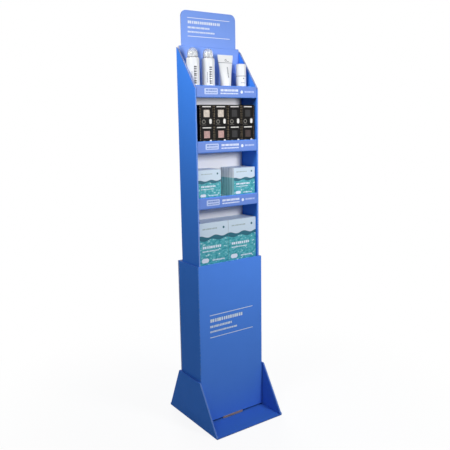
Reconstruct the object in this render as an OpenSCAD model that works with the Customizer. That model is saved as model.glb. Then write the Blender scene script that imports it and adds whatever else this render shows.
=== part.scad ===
// Floor-standing display tower of folded corrugated board, with the stock on its shelves.
// Millimetres, Z up. The open front faces -Y and the origin is the middle of the foot's underside.
// The tower is laid out around its stock: bay sizes follow from the goods, and the board from the bays.

/* [Board] */
// Thickness of the corrugated board
board = 3; // [2:0.1:4]
// Space between the two plies of a wall folded double
ply_gap = 1.2; // [0.8:0.1:2]
// Inside radius of a right-angle crease
crease_r = 1; // [0.4:0.1:2]
// Play of a tab in its slot, on each side
slot_play = 0.25; // [0.15:0.05:0.6]
// Play of a panel beside the wall that it slides along
slide_play = 0.5; // [0.3:0.1:1]
// Space left where a raw edge butts on a panel
butt_gap = 0.3; // [0.1:0.1:0.8]

/* [Column] */
// Height of the column's back above the top shelf
top_wall_h = 151; // [110:1:220]
// Drop of the side walls' front corners below the top lip
front_drop = 12; // [6:1:30]
// Level stretch of the side walls' top edge at the back
rear_flat = 6; // [4:1:30]
// Rounding of the slope's rear corner
rear_round = 30; // [10:1:40]
// Rounding of the slope's front corner
front_round = 15; // [5:1:25]
// Depth of the hollow between false back and column back
spine_d = 24; // [18:1:50]
// Play of the header card in its pocket, on each side
pocket_play = 0.4; // [0.2:0.1:0.8]

/* [Header card] */
// Width of the header card
header_w = 237; // [180:1:245]
// Height of the header card above the column
header_h = 122; // [80:1:200]
// Rounding of the header card's top corners
header_round = 22; // [5:1:50]
// Width of each leg of the header card
leg_w = 60; // [30:1:80]
// Length of each leg of the header card
leg_h = 80; // [40:1:120]
// Distance between the middles of the two legs
leg_pitch = 130; // [90:1:150]

/* [Shelves] */
// Height of a shelf's front lip
lip_h = 42; // [38:1:60]
// How far the lip stands above the shelf's floor
lip_rise = 8; // [6:0.5:12]
// How far the lip stands behind the column's front edges
lip_setback = 1.5; // [0.5:0.1:4]
// How much lower the tape packs' shelf lies behind its lip
pack_sink = 12; // [0:0.5:16]
// How far the flanges at the shelf's sides end above the lip's bottom edge
flange_short = 4; // [0:0.5:6]
// Width of the tabs that lock a shelf
tab_w = 40; // [20:1:60]
// How far the rear tabs come through the false back
tab_through = 3; // [1:0.5:8]
// Distance between the middles of the two rear tabs
rear_tab_pitch = 150; // [90:1:180]

/* [Sleeve] */
// Height of the sleeve's top edge above the ground
sleeve_top = 620; // [450:1:750]
// Space between the column's sides and the sleeve
sleeve_side_gap = 5; // [2:0.5:10]
// Space between the column's front and the sleeve
sleeve_front_gap = 2; // [1:0.5:8]
// Space between the column's back and the sleeve
sleeve_back_gap = 14; // [4:0.5:20]
// Space under the sleeve's bottom edge
sleeve_lift = 6; // [1:0.5:7]
// Width of the sleeve's glued joint flap
joint_flap_w = 35; // [20:1:60]

/* [Base tray] */
// Width of the tongues that carry the sleeve
tongue_w = 95; // [60:1:140]
// How far the tongues come out of the sleeve
tongue_reach = 3; // [1:0.5:8]

/* [Foot] */
// How far the foot reaches in front of the sleeve
foot_front = 112; // [70:1:160]
// How far the foot reaches behind the sleeve
foot_back = 81; // [60:1:140]
// Height of the foot's wings
wing_h = 179; // [100:1:260]
// How far a wing's top edge runs past the sleeve, at each end
wing_top_reach = 5; // [0:0.5:20]
// Rounding of a wing's top corners
wing_round = 8; // [2:1:20]
// Height of a wing's edge at the foot's corner
wing_toe = 6; // [5:0.5:20]
// Space between wings and sleeve
wing_gap = 1; // [0.5:0.1:3]
// Seam between the two gussets inside each wing
gusset_seam = 2; // [1:0.5:6]

/* [Stock spacing] */
// Space between the stock and the side walls
stock_room = 1.5; // [0.5:0.5:6]
// Space left in the depth of a bay
stock_depth_room = 1.8; // [0.5:0.1:10]
// Space between neighbouring cartons
stock_gap = 0.6; // [0.2:0.1:2]
// Free height above the tape packs
headroom_2 = 55; // [20:1:120]
// Free height above the small cartons
headroom_3 = 79; // [20:1:150]
// Free height above the large cartons
headroom_4 = 82; // [20:1:150]

/* [Spray cans] */
// Diameter of a spray can
can_d = 46; // [44:0.5:60]
// Height of a spray can up to its cap
can_h = 104; // [80:1:140]
// Height of the can's domed shoulder
can_shoulder_h = 5; // [3:0.5:20]
// Size of the bead round the can's base and shoulder
can_rim = 1.5; // [0.8:0.1:2]
// Height of the valve cup in which the button sits
valve_h = 4; // [2:0.5:6]
// Diameter of the clear cap
can_cap_d = 38.5; // [30:0.5:40]
// Height of the clear cap
can_cap_h = 35; // [32:1:50]
// Straight part of the clear cap, below its dome
can_cap_straight = 12.6; // [6:0.1:20]
// Wall of the clear cap
can_cap_wall = 1.2; // [0.8:0.1:2]
// Space between the spray button's skirt and the clear cap
button_room = 1.5; // [1:0.1:4]
// Height of the spray button
button_h = 19.8; // [14:0.1:22]
// Straight part of the spray button's skirt
button_skirt_h = 7; // [4:0.1:8]
// Diameter of the dished top of the spray button
finger_d = 13; // [8:0.5:16]
// Diameter of the hole in the spray button
nozzle_d = 2.9; // [1:0.1:5]

/* [Tube and roll-on bottle] */
// Width of the tube's crimped end
tube_w = 67; // [50:1:80]
// Diameter of the tube at its cap
tube_d = 40; // [30:0.5:46]
// Height of the tube standing on its cap
tube_h = 120; // [90:1:150]
// Height of the tube's cap
tube_cap_h = 20; // [12:1:30]
// Height of the tube's flat crimp
crimp_h = 9; // [5:1:15]
// Thickness of the tube's flat crimp
crimp_t = 1.4; // [0.8:0.1:2.5]
// Diameter of the roll-on bottle
bottle_d = 38; // [34:0.5:46]
// Height of the roll-on bottle up to its cap
bottle_h = 48; // [35:1:70]
// Diameter of the bottle's neck under the cap
bottle_neck_d = 26; // [18:0.5:28]
// Height of the bottle's neck
bottle_neck_h = 17; // [10:0.5:20]
// How far the roller ball stands above the neck
ball_rise = 5; // [2:0.5:8]
// Height of the bottle's cap
bottle_cap_h = 43; // [34:1:60]
// Wall of the bottle's cap
bottle_cap_wall = 1.5; // [1:0.1:2.5]
// Space kept between the goods on the top shelf
top_gap = 14; // [6:1:20]
// Space at the right end of the top row
top_end_room = 7; // [2:1:12]

/* [Tape packs] */
// Packs side by side
packs_across = 4; // [2:1:4]
// Packs on top of each other
pack_rows = 2; // [1:1:2]
// Width of a tape pack
pack_w = 59; // [45:0.5:66]
// Depth of a tape pack
pack_d = 56; // [35:1:70]
// Height of a tape pack
pack_h = 73; // [50:0.5:80]
// Space between neighbouring tape packs
pack_gap = 1.5; // [0.5:0.5:4]
// How far the block of packs stands right of the middle
pack_shift = 5.5; // [0:0.5:10]
// Side of the square window in a tape pack
window_w = 25; // [16:0.5:32]
// Height of the window's middle above the pack's bottom
window_z = 43; // [30:0.1:50]
// Depth from the pack's front to the rim of the roll in the window
window_recess = 1.2; // [0.6:0.1:3]
// Radius of the roll seen in the window
roll_r = 31.9; // [24:0.1:36]

/* [Cartons] */
// Small cartons behind each other in a row
small_deep = 5; // [2:1:5]
// Width of a small carton
small_w = 98; // [70:0.5:105]
// Depth of a small carton
small_d = 15.8; // [10:0.1:20]
// Height of a small carton
small_h = 106; // [80:1:130]
// Space between the two rows of small cartons
small_aisle = 57; // [20:1:80]
// Large cartons behind each other in a row
large_deep = 3; // [1:1:3]
// Width of a large carton
large_w = 129; // [100:0.5:140]
// Depth of a large carton
large_d = 26.2; // [15:0.1:30]
// Height of a large carton
large_h = 162; // [120:1:190]

/* [Hidden] */
$fn = 48;
BLUE = [0.27, 0.45, 0.84];
WHITE = [0.93, 0.93, 0.95];
KRAFT = [0.72, 0.56, 0.4];
BLACK = [0.09, 0.09, 0.1];
TEAL = [0.3, 0.66, 0.68];
CLEAR = [0.85, 0.9, 0.95, 0.4];

// Steps in the arc of a crease or rounded corner, and the flat left on the crown of a rolled fold
arc_steps = 6;
crown_flat = 0.2;
// How far the round of a wing's roll runs out past the panels
roll_spill = 0.1;
// Overlap of solids that are one sheet, and the run of a cut past a face
lap = 1;
// Step in degrees along the dome of a can or cap
dome_step = 10;
// Small rounding on moulded goods, dish of a bottle's base, and draft of the moulded cap
small_round = 1;
base_dish = 1;
cap_draft = 0.7;
bottle_cap_round = 4.6;
// Depth of the dish in a spray button's top
button_dish = 2;
// Rounding of a carton's and a tape pack's upright edges, and the slits round their tuck flaps
carton_edge = 0.8;
pack_edge = 2.5;
slit = 0.5;
slit_inset = 0.8;

// Folded walls
double = 2 * board + ply_gap;
crease_mid = crease_r + board / 2;
roll_mid = (board + ply_gap - crown_flat) / 2;
pocket_gap = board + 2 * pocket_play;
pocket_mid = (board + pocket_gap - crown_flat) / 2;

// Bays, from the stock
pack_row_w = packs_across * (pack_w + pack_gap) - pack_gap;
small_row_w = 2 * small_w + small_aisle;
large_row_w = 2 * large_w + stock_gap;
top_row = [can_d, can_d, max(tube_w, tube_d), bottle_d];
top_row_w = sum(top_row) + 3 * top_gap;
bay_w = max(pack_row_w + 2 * pack_shift, small_row_w, large_row_w, top_row_w + top_end_room)
    + 2 * stock_room;
small_row_d = small_deep * (small_d + stock_gap) - stock_gap;
large_row_d = large_deep * (large_d + stock_gap) - stock_gap;
bay_d = max(pack_d, small_row_d, large_row_d, can_d, bottle_d) + stock_depth_room;

// Plan of the board, front to back
column_w = bay_w + 2 * double;
column_d = lip_setback + double + bay_d + spine_d + board;
sleeve_w = column_w + 2 * (sleeve_side_gap + board);
sleeve_d = column_d + sleeve_front_gap + sleeve_back_gap + 2 * board;
foot_w = sleeve_w + 2 * (wing_gap + double);
foot_d = foot_front + sleeve_d + foot_back;
sleeve_y0 = foot_front - foot_d / 2;
sleeve_y1 = sleeve_y0 + sleeve_d;
column_y0 = sleeve_y0 + board + sleeve_front_gap;
column_y1 = column_y0 + column_d;
lip_y0 = column_y0 + lip_setback;
bay_y0 = lip_y0 + double;
spine_y0 = bay_y0 + bay_d;
back_y = column_y1 - board;
header_y = back_y - pocket_gap / 2;
flap_y0 = back_y - pocket_gap - board;
shelf_w = bay_w - 2 * slide_play;

// Levels, from the ground up
ground_panel = board;
tray_top = ground_panel + double;
sleeve_z0 = ground_panel + sleeve_lift;
floor_4 = sleeve_top - lip_rise;
floor_3 = floor_4 + large_h + headroom_4 + board;
floor_2 = floor_3 + small_h + headroom_3 + board;
floor_1 = floor_2 + pack_rows * pack_h + headroom_2 + board;
floors = [floor_1, floor_2, floor_3, floor_4];
front_top = floor_1 + lip_rise - front_drop;
rear_top = floor_1 + top_wall_h;
wall_top = rear_top - board - pocket_gap / 2;
header_top = rear_top + header_h;

// Locking tabs
tab_y = bay_y0 + bay_d / 2;
tab_reach = slide_play + board + ply_gap * 2 / 3;

function sum(v, i = 0) = i < len(v) ? v[i] + sum(v, i + 1) : 0;
function unit(v) = v / norm(v);
function spun(v, a) = [v[0] * cos(a) - v[1] * sin(a), v[0] * sin(a) + v[1] * cos(a)];
function left_of(v) = [-v[1], v[0]];

// Arc that rounds the corner a-p-b with radius r, drawn at distance d to the left of the path
function corner_arc(a, p, b, r, d = 0) =
    let (u = unit(a - p), v = unit(b - p),
         half = acos(u * v) / 2,
         way = cross(p - a, b - p) > 0 ? 1 : -1,
         middle = p + unit(u + v) * r / sin(half),
         start = unit(p + u * r / tan(half) - middle))
    [for (k = [0 : arc_steps]) middle + (r - way * d) * spun(start, way * (180 - 2 * half) * k / arc_steps)];

// Closed outline with each corner rounded by its own radius
function rounded(points, radii) =
    let (n = len(points))
    [for (i = [0 : n - 1])
        each radii[i] > 0
            ? corner_arc(points[(i + n - 1) % n], points[i], points[(i + 1) % n], radii[i])
            : [points[i]]];

// One face of a folded sheet whose middle line is the path, d to the left of that line
function sheet_face(path, radii, d) =
    let (n = len(path))
    concat([path[0] + d * left_of(unit(path[1] - path[0]))],
           [for (i = [1 : n - 2]) each corner_arc(path[i - 1], path[i], path[i + 1], radii[i - 1], d)],
           [path[n - 1] + d * left_of(unit(path[n - 1] - path[n - 2]))]);

function reversed(v) = [for (i = [len(v) - 1 : -1 : 0]) v[i]];

// Section of a folded sheet: its path, and the middle radius of each fold along it
module folded(path, radii)
    polygon(concat(sheet_face(path, radii, board / 2), reversed(sheet_face(path, radii, -board / 2))));

// Extrudes a (y, z) outline along X, about the middle
module along_x(w) rotate([90, 0, 90]) linear_extrude(w, center = true) children();

// Extrudes an (x, z) outline along Y, between two places
module along_y(from, to) translate([0, to, 0]) rotate([90, 0, 0]) linear_extrude(to - from) children();

// Block between two corners
module block(low, high) translate(low) cube(high - low);

module both_sides() {
    children();
    mirror([1, 0, 0]) children();
}

// Foot: floor panel and tapered wings, whose sloped edges roll over into inner gussets

// Place of a wing's sloped edge at height z, moved square to the edge by inset; front or rear
function slope_run(end) = end < 0 ? foot_front - wing_top_reach : foot_back - wing_top_reach;
function slope_angle(end) = atan2(wing_h - wing_toe, slope_run(end));
function slope_y(end, z, inset) =
    let (climbed = (z - wing_toe) / (wing_h - wing_toe))
    end * (foot_d / 2 - slope_run(end) * climbed - inset / sin(slope_angle(end)));

// Outline of the foot seen from the side
wing_outline = rounded(
    [[-foot_d / 2, -lap], [foot_d / 2, -lap], [foot_d / 2, wing_toe], [slope_y(1, wing_h, 0), wing_h],
     [slope_y(-1, wing_h, 0), wing_h], [-foot_d / 2, wing_toe]],
    [0, 0, 0, wing_round, wing_round, 0]);

// Hollow between a wing's two plies, open at the top, that stops one board short of the sloped edges
module wing_hollow() {
    low = ground_panel + butt_gap / 2;
    high = wing_h + lap;
    along_x(ply_gap)
        polygon([[slope_y(-1, low, board), low], [slope_y(1, low, board), low],
                 [slope_y(1, high, board), high], [slope_y(-1, high, board), high]]);
}

// Waste beside the rounded back of a roll along a wing's sloped edge, front or rear
module roll_waste(end) {
    a = slope_angle(end);
    half = double / 2;
    translate([0, slope_y(end, 2 * wing_toe, 0), 2 * wing_toe])
        rotate([end < 0 ? a - 90 : 90 - a, 0, 0])
            linear_extrude(2 * wing_h)
                mirror([0, end < 0 ? 0 : 1])
                    polygon(concat(
                        [[-half - lap, half], [-half - lap, -lap], [half + lap, -lap], [half + lap, half]],
                        [for (t = [0 : dome_step : 180]) [(half + roll_spill) * cos(t), half * (1 - sin(t))]]));
}

module foot() {
    wing_x = (foot_w - board) / 2;
    inner_x = foot_w / 2 - double;
    long = foot_d / 2 + lap;
    middle = (sleeve_y0 + sleeve_y1) / 2;
    color(BLUE) difference() {
        intersection() {
            union() {
                along_y(-long, long)
                    folded([[-wing_x, wing_h + lap], [-wing_x, board / 2],
                            [wing_x, board / 2], [wing_x, wing_h + lap]],
                           [crease_mid, crease_mid]);
                both_sides()
                    block([inner_x, -long, ground_panel + butt_gap], [wing_x, long, wing_h + lap]);
            }
            along_x(foot_w + lap) polygon(wing_outline);
        }
        both_sides() {
            translate([inner_x + double / 2, 0, 0]) {
                wing_hollow();
                roll_waste(-1);
                roll_waste(1);
            }
            block([inner_x - lap, middle - gusset_seam / 2, ground_panel + butt_gap / 2],
                  [inner_x + double / 2, middle + gusset_seam / 2, wing_h + lap]);
        }
    }
}

// Sleeve: four-sided tube with a glued joint inside its back, notched over the base tray's tongues
module sleeve() {
    side_x = (sleeve_w - board) / 2;
    front_y = sleeve_y0 + board / 2;
    rear_y = sleeve_y1 - board / 2;
    flap_y = rear_y - board - butt_gap;
    color(BLUE) difference() {
        translate([0, 0, sleeve_z0])
            linear_extrude(sleeve_top - sleeve_z0)
                folded([[joint_flap_w - side_x, flap_y], [-side_x, flap_y], [-side_x, front_y],
                        [side_x, front_y], [side_x, rear_y], [butt_gap - sleeve_w / 2, rear_y]],
                       [for (i = [1 : 4]) crease_mid]);
        block([-tongue_w / 2 - slide_play, sleeve_y0 - lap, 0],
              [tongue_w / 2 + slide_play, sleeve_y1 + lap, tray_top]);
    }
}

// Column: back and sides in one sheet, sides folded double round their front edges, top rolled into a pocket
module column_walls() {
    outer_x = (column_w - board) / 2;
    inner_x = outer_x - board - ply_gap;
    front_y = column_y0 + board / 2;
    rear_y = column_y1 - board / 2;
    intersection() {
        translate([0, 0, ground_panel])
            linear_extrude(rear_top - ground_panel)
                folded([[-inner_x, back_y - butt_gap], [-inner_x, front_y],
                        [-outer_x, front_y], [-outer_x, rear_y], [outer_x, rear_y], [outer_x, front_y],
                        [inner_x, front_y], [inner_x, back_y - butt_gap]],
                       [roll_mid, roll_mid, crease_mid, crease_mid, roll_mid, roll_mid]);
        along_x(column_w + lap)
            polygon(rounded([[column_y0 - lap, 0], [column_y1 + 2 * rear_round, 0],
                             [column_y1 + 2 * rear_round, wall_top], [column_y1 - rear_flat, wall_top],
                             [column_y0 - lap, front_top]],
                            [0, 0, 0, rear_round, front_round]));
    }
}

module header_pocket() {
    rear_y = column_y1 - board / 2;
    flap_y = flap_y0 + board / 2;
    crown = rear_top - board / 2;
    along_x(shelf_w)
        folded([[rear_y, wall_top - rear_round], [rear_y, crown],
                [flap_y, crown], [flap_y, floor_1 - board + butt_gap]],
               [pocket_mid, pocket_mid]);
}

module column() {
    color(BLUE) difference() {
        union() {
            column_walls();
            header_pocket();
        }
        for (side = [-1, 1])
            translate([side * leg_pitch / 2, header_y, wall_top])
                cube([leg_w + 2 * slide_play, board + pocket_play, 4 * board], center = true);
        for (z = floors)
            both_sides()
                block([bay_w / 2 - lap, tab_y - tab_w / 2 - slot_play, z - board - slot_play],
                      [bay_w / 2 + board + ply_gap / 2, tab_y + tab_w / 2 + slot_play, z + slot_play]);
        block([-tongue_w / 2 - slide_play, back_y - lap, 0],
              [tongue_w / 2 + slide_play, column_y1 + lap, tray_top + slot_play]);
    }
}

// Header card with two legs that plug into the pocket
module header_card() {
    half = header_w / 2;
    leg_in = (leg_pitch - leg_w) / 2;
    leg_out = (leg_pitch + leg_w) / 2;
    leg_end = rear_top - leg_h;
    leg_round = leg_w / 8;
    color(BLUE)
        along_y(header_y - board / 2, header_y + board / 2)
            polygon(rounded(
                [[-half, rear_top], [-leg_out, rear_top], [-leg_out, leg_end],
                 [-leg_in, leg_end], [-leg_in, rear_top], [leg_in, rear_top], [leg_in, leg_end],
                 [leg_out, leg_end], [leg_out, rear_top], [half, rear_top],
                 [half, header_top], [-half, header_top]],
                [0, 0, leg_round, leg_round, 0, 0, leg_round, leg_round, 0, 0, header_round, header_round]));
}

// Spine: white U-section, the false back of the lower bays
module spine() {
    side_x = (shelf_w - board) / 2;
    front_y = spine_y0 + board / 2;
    color(WHITE) difference() {
        translate([0, 0, tray_top])
            linear_extrude(floor_1 - board - tray_top)
                folded([[-side_x, back_y - butt_gap], [-side_x, front_y],
                        [side_x, front_y], [side_x, back_y - butt_gap]],
                       [crease_mid, crease_mid]);
        for (z = [floor_2, floor_3, floor_4], side = [-1, 1])
            translate([side * rear_tab_pitch / 2, spine_y0, z - board / 2])
                cube([tab_w + 2 * slot_play, 4 * board, board + 2 * slot_play], center = true);
    }
}

// Base tray: two-ply pad folded along its left edge, with a tongue at the front and back
module base_tray() {
    half = shelf_w / 2;
    fold_x = half - board / 2;
    low = ground_panel + board / 2;
    high = tray_top - board / 2;
    front = column_y0 + roll_mid;
    rear = back_y - slide_play;
    tongue = tongue_w / 2;
    tip_front = sleeve_y0 - tongue_reach;
    tip_rear = sleeve_y1 + tongue_reach;
    tip_round = 2 * tongue_reach;
    color(KRAFT) intersection() {
        along_y(tip_front, tip_rear)
            folded([[half, low], [-fold_x, low], [-fold_x, high], [half, high]], [roll_mid, roll_mid]);
        linear_extrude(tray_top + lap)
            polygon(rounded(
                [[-half - lap, front], [-tongue, front], [-tongue, tip_front],
                 [tongue, tip_front], [tongue, front], [half + lap, front],
                 [half + lap, rear], [tongue, rear], [tongue, tip_rear],
                 [-tongue, tip_rear], [-tongue, rear], [-half - lap, rear]],
                [0, 0, tip_round, tip_round, 0, 0, 0, 0, tip_round, tip_round, 0, 0]));
    }
}

// Shelf: its front edge folds down, up and over into a double lip, and its sides fold down as flanges
function rise(i) = i == 2 ? lip_rise + pack_sink : lip_rise;

module shelf_lip(z, rise) {
    outer_y = lip_y0 + board / 2;
    inner_y = outer_y + board + ply_gap;
    high = z + rise - board / 2;
    low = z + rise - lip_h + board / 2;
    along_x(shelf_w)
        folded([[bay_y0 + crease_mid + board, z - board / 2], [inner_y, z - board / 2],
                [inner_y, low], [outer_y, low], [outer_y, high], [inner_y, high], [inner_y, z + butt_gap]],
               [crease_mid, roll_mid, roll_mid, roll_mid, roll_mid]);
}

module shelf_floor(z, rise, rear) {
    side_x = (shelf_w - board) / 2;
    middle = z - board / 2;
    low = z + rise - lip_h + flange_short;
    difference() {
        along_y(bay_y0 + crease_mid, rear)
            folded([[-side_x, low], [-side_x, middle], [side_x, middle], [side_x, low]], [crease_mid, crease_mid]);
        both_sides()
            block([side_x - crease_mid, tab_y - tab_w / 2 - slot_play, z - board - tab_reach],
                  [shelf_w, tab_y + tab_w / 2 + slot_play, z - board]);
    }
}

module shelf(i) {
    z = floors[i - 1];
    rear = spine_y0 - slide_play;
    color(WHITE) union() {
        shelf_lip(z, rise(i));
        shelf_floor(z, rise(i), rear);
        both_sides()
            block([shelf_w / 2 - crease_mid - board, tab_y - tab_w / 2, z - board],
                  [shelf_w / 2 + tab_reach, tab_y + tab_w / 2, z]);
        if (i == 1)
            block([-shelf_w / 2, rear - lap, z - board], [shelf_w / 2, flap_y0 - slide_play, z]);
        else
            for (side = [-1, 1])
                translate([side * rear_tab_pitch / 2 - tab_w / 2, rear - lap, z - board])
                    cube([tab_w, lap + slide_play + board + tab_through, board]);
    }
}

// Stock on the top shelf, spread over the bay with equal spaces
top_spare = (bay_w - 2 * stock_room - top_end_room - sum(top_row)) / (len(top_row) - 1);
function top_x(i) =
    stock_room - bay_w / 2 + sum([for (k = [0 : 1 : i - 1]) top_row[k] + top_spare]) + top_row[i] / 2;
top_y = (bay_y0 + flap_y0) / 2;

// Quarter of an ellipse from the side at (r, z) up to its top, h higher, where it ends at radius core
function dome(r, z, h, from = 0, core = 0) =
    [for (a = [from : dome_step : 90]) [core + (r - core) * cos(a), z + h * sin(a)]];

module can(i) {
    r = can_d / 2;
    neck = can_cap_d / 2 - can_cap_wall - slide_play;
    bead = can_cap_d / 2 + can_rim;
    shoulder_z = can_h - can_shoulder_h;
    color(WHITE) translate([top_x(i - 1), top_y, floor_1]) rotate_extrude()
        polygon(concat(
            rounded([[0, 2 * can_rim], [r - 3 * can_rim, 2 * can_rim], [r - 2 * can_rim, 0], [r, 0],
                     [r, shoulder_z]],
                    [0, can_rim, can_rim / 2, can_rim, 0]),
            dome(r, shoulder_z, can_shoulder_h, dome_step, bead),
            [[neck, can_h], [neck, can_h + valve_h], [0, can_h + valve_h]]));
}

// Spray button with a domed skirt, a dished top and a nozzle hole
module actuator(i) {
    r = can_cap_d / 2 - can_cap_wall - button_room;
    color(WHITE) translate([top_x(i - 1), top_y, floor_1 + can_h + valve_h]) difference() {
        rotate_extrude()
            polygon(concat(
                [[0, 0], [r, 0]],
                dome(r, button_skirt_h, button_h - button_skirt_h, 0, finger_d / 2),
                [[0, button_h - button_dish]]));
        translate([0, 0, button_h - 2 * nozzle_d]) rotate([90, 0, 0]) cylinder(h = can_cap_d, d = nozzle_d);
    }
}

module cap(i) {
    r = can_cap_d / 2;
    rise = can_cap_h - can_cap_straight;
    color(CLEAR) translate([top_x(i - 1), top_y, floor_1 + can_h]) rotate_extrude()
        polygon(concat(
            [[r, 0]],
            dome(r, can_cap_straight, rise),
            reversed(dome(r - can_cap_wall, can_cap_straight, rise - can_cap_wall)),
            [[r - can_cap_wall, 0]]));
}

module tube() {
    color(WHITE) translate([top_x(2), top_y, floor_1]) {
        hull() {
            translate([0, 0, tube_cap_h]) cylinder(h = lap, d = tube_d);
            translate([0, 0, tube_h - crimp_h]) cube([tube_w, crimp_t, lap], center = true);
        }
        translate([-tube_w / 2, -crimp_t / 2, tube_h - crimp_h]) cube([tube_w, crimp_t, crimp_h]);
    }
}

module tube_cap() {
    r = tube_d / 2;
    color(WHITE) translate([top_x(2), top_y, floor_1]) rotate_extrude()
        polygon(rounded([[0, 0], [r - small_round, 0], [r, tube_cap_h - 4 * small_round], [r, tube_cap_h],
                         [0, tube_cap_h]],
                        [0, small_round, 3 * small_round, 0, 0]));
}

module bottle() {
    r = bottle_d / 2;
    neck = bottle_neck_d / 2;
    neck_top = bottle_h + bottle_neck_h;
    color(WHITE) translate([top_x(3), top_y, floor_1]) rotate_extrude()
        polygon(rounded([[0, base_dish], [r - 4 * base_dish, base_dish], [r - 3 * base_dish, 0], [r, 0],
                         [r, bottle_h], [neck, bottle_h], [neck, neck_top], [0, neck_top + ball_rise]],
                        [0, 0, 0, 2 * small_round, small_round, 0, 4 * small_round, 0]));
}

module bottle_cap() {
    r = bottle_d / 2;
    inner = r - bottle_cap_wall;
    roof = bottle_cap_h - 2 * bottle_cap_wall;
    color(WHITE) translate([top_x(3), top_y, floor_1 + bottle_h]) rotate_extrude()
        polygon(rounded([[inner, 0], [r, 0], [r - cap_draft, bottle_cap_h], [0, bottle_cap_h], [0, roof],
                         [inner - cap_draft, roof]],
                        [0, small_round, bottle_cap_round, 0, 0, bottle_cap_round - cap_draft]));
}

// Tape packs: cartons with a window onto the roll, stacked in a block
module tape_pack(i) {
    across = (i - 1) % packs_across;
    row = floor((i - 1) / packs_across);
    translate([pack_shift - pack_row_w / 2 + pack_w / 2 + across * (pack_w + pack_gap),
               bay_y0 + stock_depth_room / 2, floor_2 + row * pack_h])
        color(BLACK) difference() {
            carton(pack_w, pack_d, pack_h, pack_edge);
            difference() {
                translate([0, 0, window_z]) cube([window_w, 2 * window_recess, window_w], center = true);
                translate([0, roll_r + window_recess / 4, 0]) cylinder(r = roll_r, h = pack_h);
            }
        }
}

// Slits round the tuck flaps in a carton's top and bottom
module closure_slits(w, d, h) {
    for (z = [0, h])
        translate([0, 0, z - slit]) {
            translate([-w / 2 + slit_inset, slit_inset, 0]) cube([w - 2 * slit_inset, slit, 2 * slit]);
            for (x = [slit_inset - w / 2, w / 2 - slit_inset - slit])
                translate([x, slit_inset, 0]) cube([slit, d - 2 * slit_inset, 2 * slit]);
        }
}

// Folding carton, standing with its front at y = 0, its upright edges rounded by edge
module carton(w, d, h, edge) {
    difference() {
        linear_extrude(h)
            polygon(rounded([[-w / 2, 0], [w / 2, 0], [w / 2, d], [-w / 2, d]], [edge, edge, edge, edge]));
        closure_slits(w, d, h);
    }
}

module small_carton(i) {
    side = i > small_deep ? 1 : -1;
    color(TEAL)
        translate([side * (small_aisle + small_w) / 2,
                   bay_y0 + stock_depth_room / 2 + ((i - 1) % small_deep) * (small_d + stock_gap), floor_3])
            carton(small_w, small_d, small_h, carton_edge);
}

module large_carton(i) {
    side = i > large_deep ? 1 : -1;
    color(TEAL)
        translate([side * (large_w + stock_gap) / 2,
                   bay_y0 + stock_depth_room / 2 + ((i - 1) % large_deep) * (large_d + stock_gap), floor_4])
            carton(large_w, large_d, large_h, carton_edge);
}

pack_count = packs_across * pack_rows;

foot();
sleeve();
column();
header_card();
spine();
base_tray();
for (i = [1 : len(floors)])
    shelf(i);
for (i = [1 : 2]) {
    can(i);
    actuator(i);
    cap(i);
}
tube();
tube_cap();
bottle();
bottle_cap();
for (i = [1 : pack_count])
    tape_pack(i);
for (i = [1 : 2 * small_deep])
    small_carton(i);
for (i = [1 : 2 * large_deep])
    large_carton(i);
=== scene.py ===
"""Looks of a floor-standing display tower of folded corrugated board, with the stock on its shelves."""

import logging
import math
from dataclasses import dataclass
from enum import Enum, auto
from functools import cache
from typing import Callable, Iterable, Sequence, Union

import bmesh
import bpy
from bpy.types import Material, Node, NodeSocket, NodeTree, Object
from mathutils import Matrix, Vector


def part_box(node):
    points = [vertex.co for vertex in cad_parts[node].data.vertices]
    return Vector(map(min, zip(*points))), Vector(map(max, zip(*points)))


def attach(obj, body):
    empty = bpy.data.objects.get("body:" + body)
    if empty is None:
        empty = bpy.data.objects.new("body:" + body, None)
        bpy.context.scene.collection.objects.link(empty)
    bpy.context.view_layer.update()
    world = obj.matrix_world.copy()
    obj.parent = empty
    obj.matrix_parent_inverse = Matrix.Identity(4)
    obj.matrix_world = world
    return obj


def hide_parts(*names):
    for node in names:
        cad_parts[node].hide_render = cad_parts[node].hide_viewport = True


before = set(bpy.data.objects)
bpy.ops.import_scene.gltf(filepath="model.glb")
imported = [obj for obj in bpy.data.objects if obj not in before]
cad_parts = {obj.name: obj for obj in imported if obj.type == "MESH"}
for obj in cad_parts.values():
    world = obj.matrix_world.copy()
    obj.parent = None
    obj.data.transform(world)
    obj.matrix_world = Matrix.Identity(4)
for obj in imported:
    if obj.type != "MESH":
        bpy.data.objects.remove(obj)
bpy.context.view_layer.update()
BODY = "root"

# Corrugated board, in metres: the pitch of its flutes, its thickness, and the pitch of two folded plies
FLUTE_PITCH = 0.0065
BOARD = 0.003
PLY_PITCH = 0.0042

# In metres: how far a face may lie off the plane that it is told by, and the softness of a print's edge
TOLERANCE = 0.0013
INK_EDGE = 0.00025

# Share of a face's normal in one direction: next to none, leaning, facing, square to it and exactly so
SLIGHT = 0.01
LEANING = 0.05
FACING = 0.5
SQUARE = 0.9
EXACT = 0.99

# Faces of a new piece that meet at more than this angle keep a sharp edge
SHARP_ANGLE = math.radians(35)

LOG = logging.getLogger("display_tower")
Value = Union[float, Sequence[float], NodeSocket]
Colour = tuple[float, float, float, float]
Place = tuple[float, float, float]
Span = tuple[float, float]


def srgb(red: int, green: int, blue: int) -> Colour:
    """Turns a screen colour into the linear one that a shader takes.

    Args:
        red: Red from 0 to 255.
        green: Green from 0 to 255.
        blue: Blue from 0 to 255.

    Returns:
        The linear colour with full alpha.
    """

    def linear(level: int) -> float:
        """Linear share of one channel."""
        share = level / 255
        return share / 12.92 if share <= 0.04045 else ((share + 0.055) / 1.055) ** 2.4

    return (linear(red), linear(green), linear(blue), 1.0)


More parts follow.
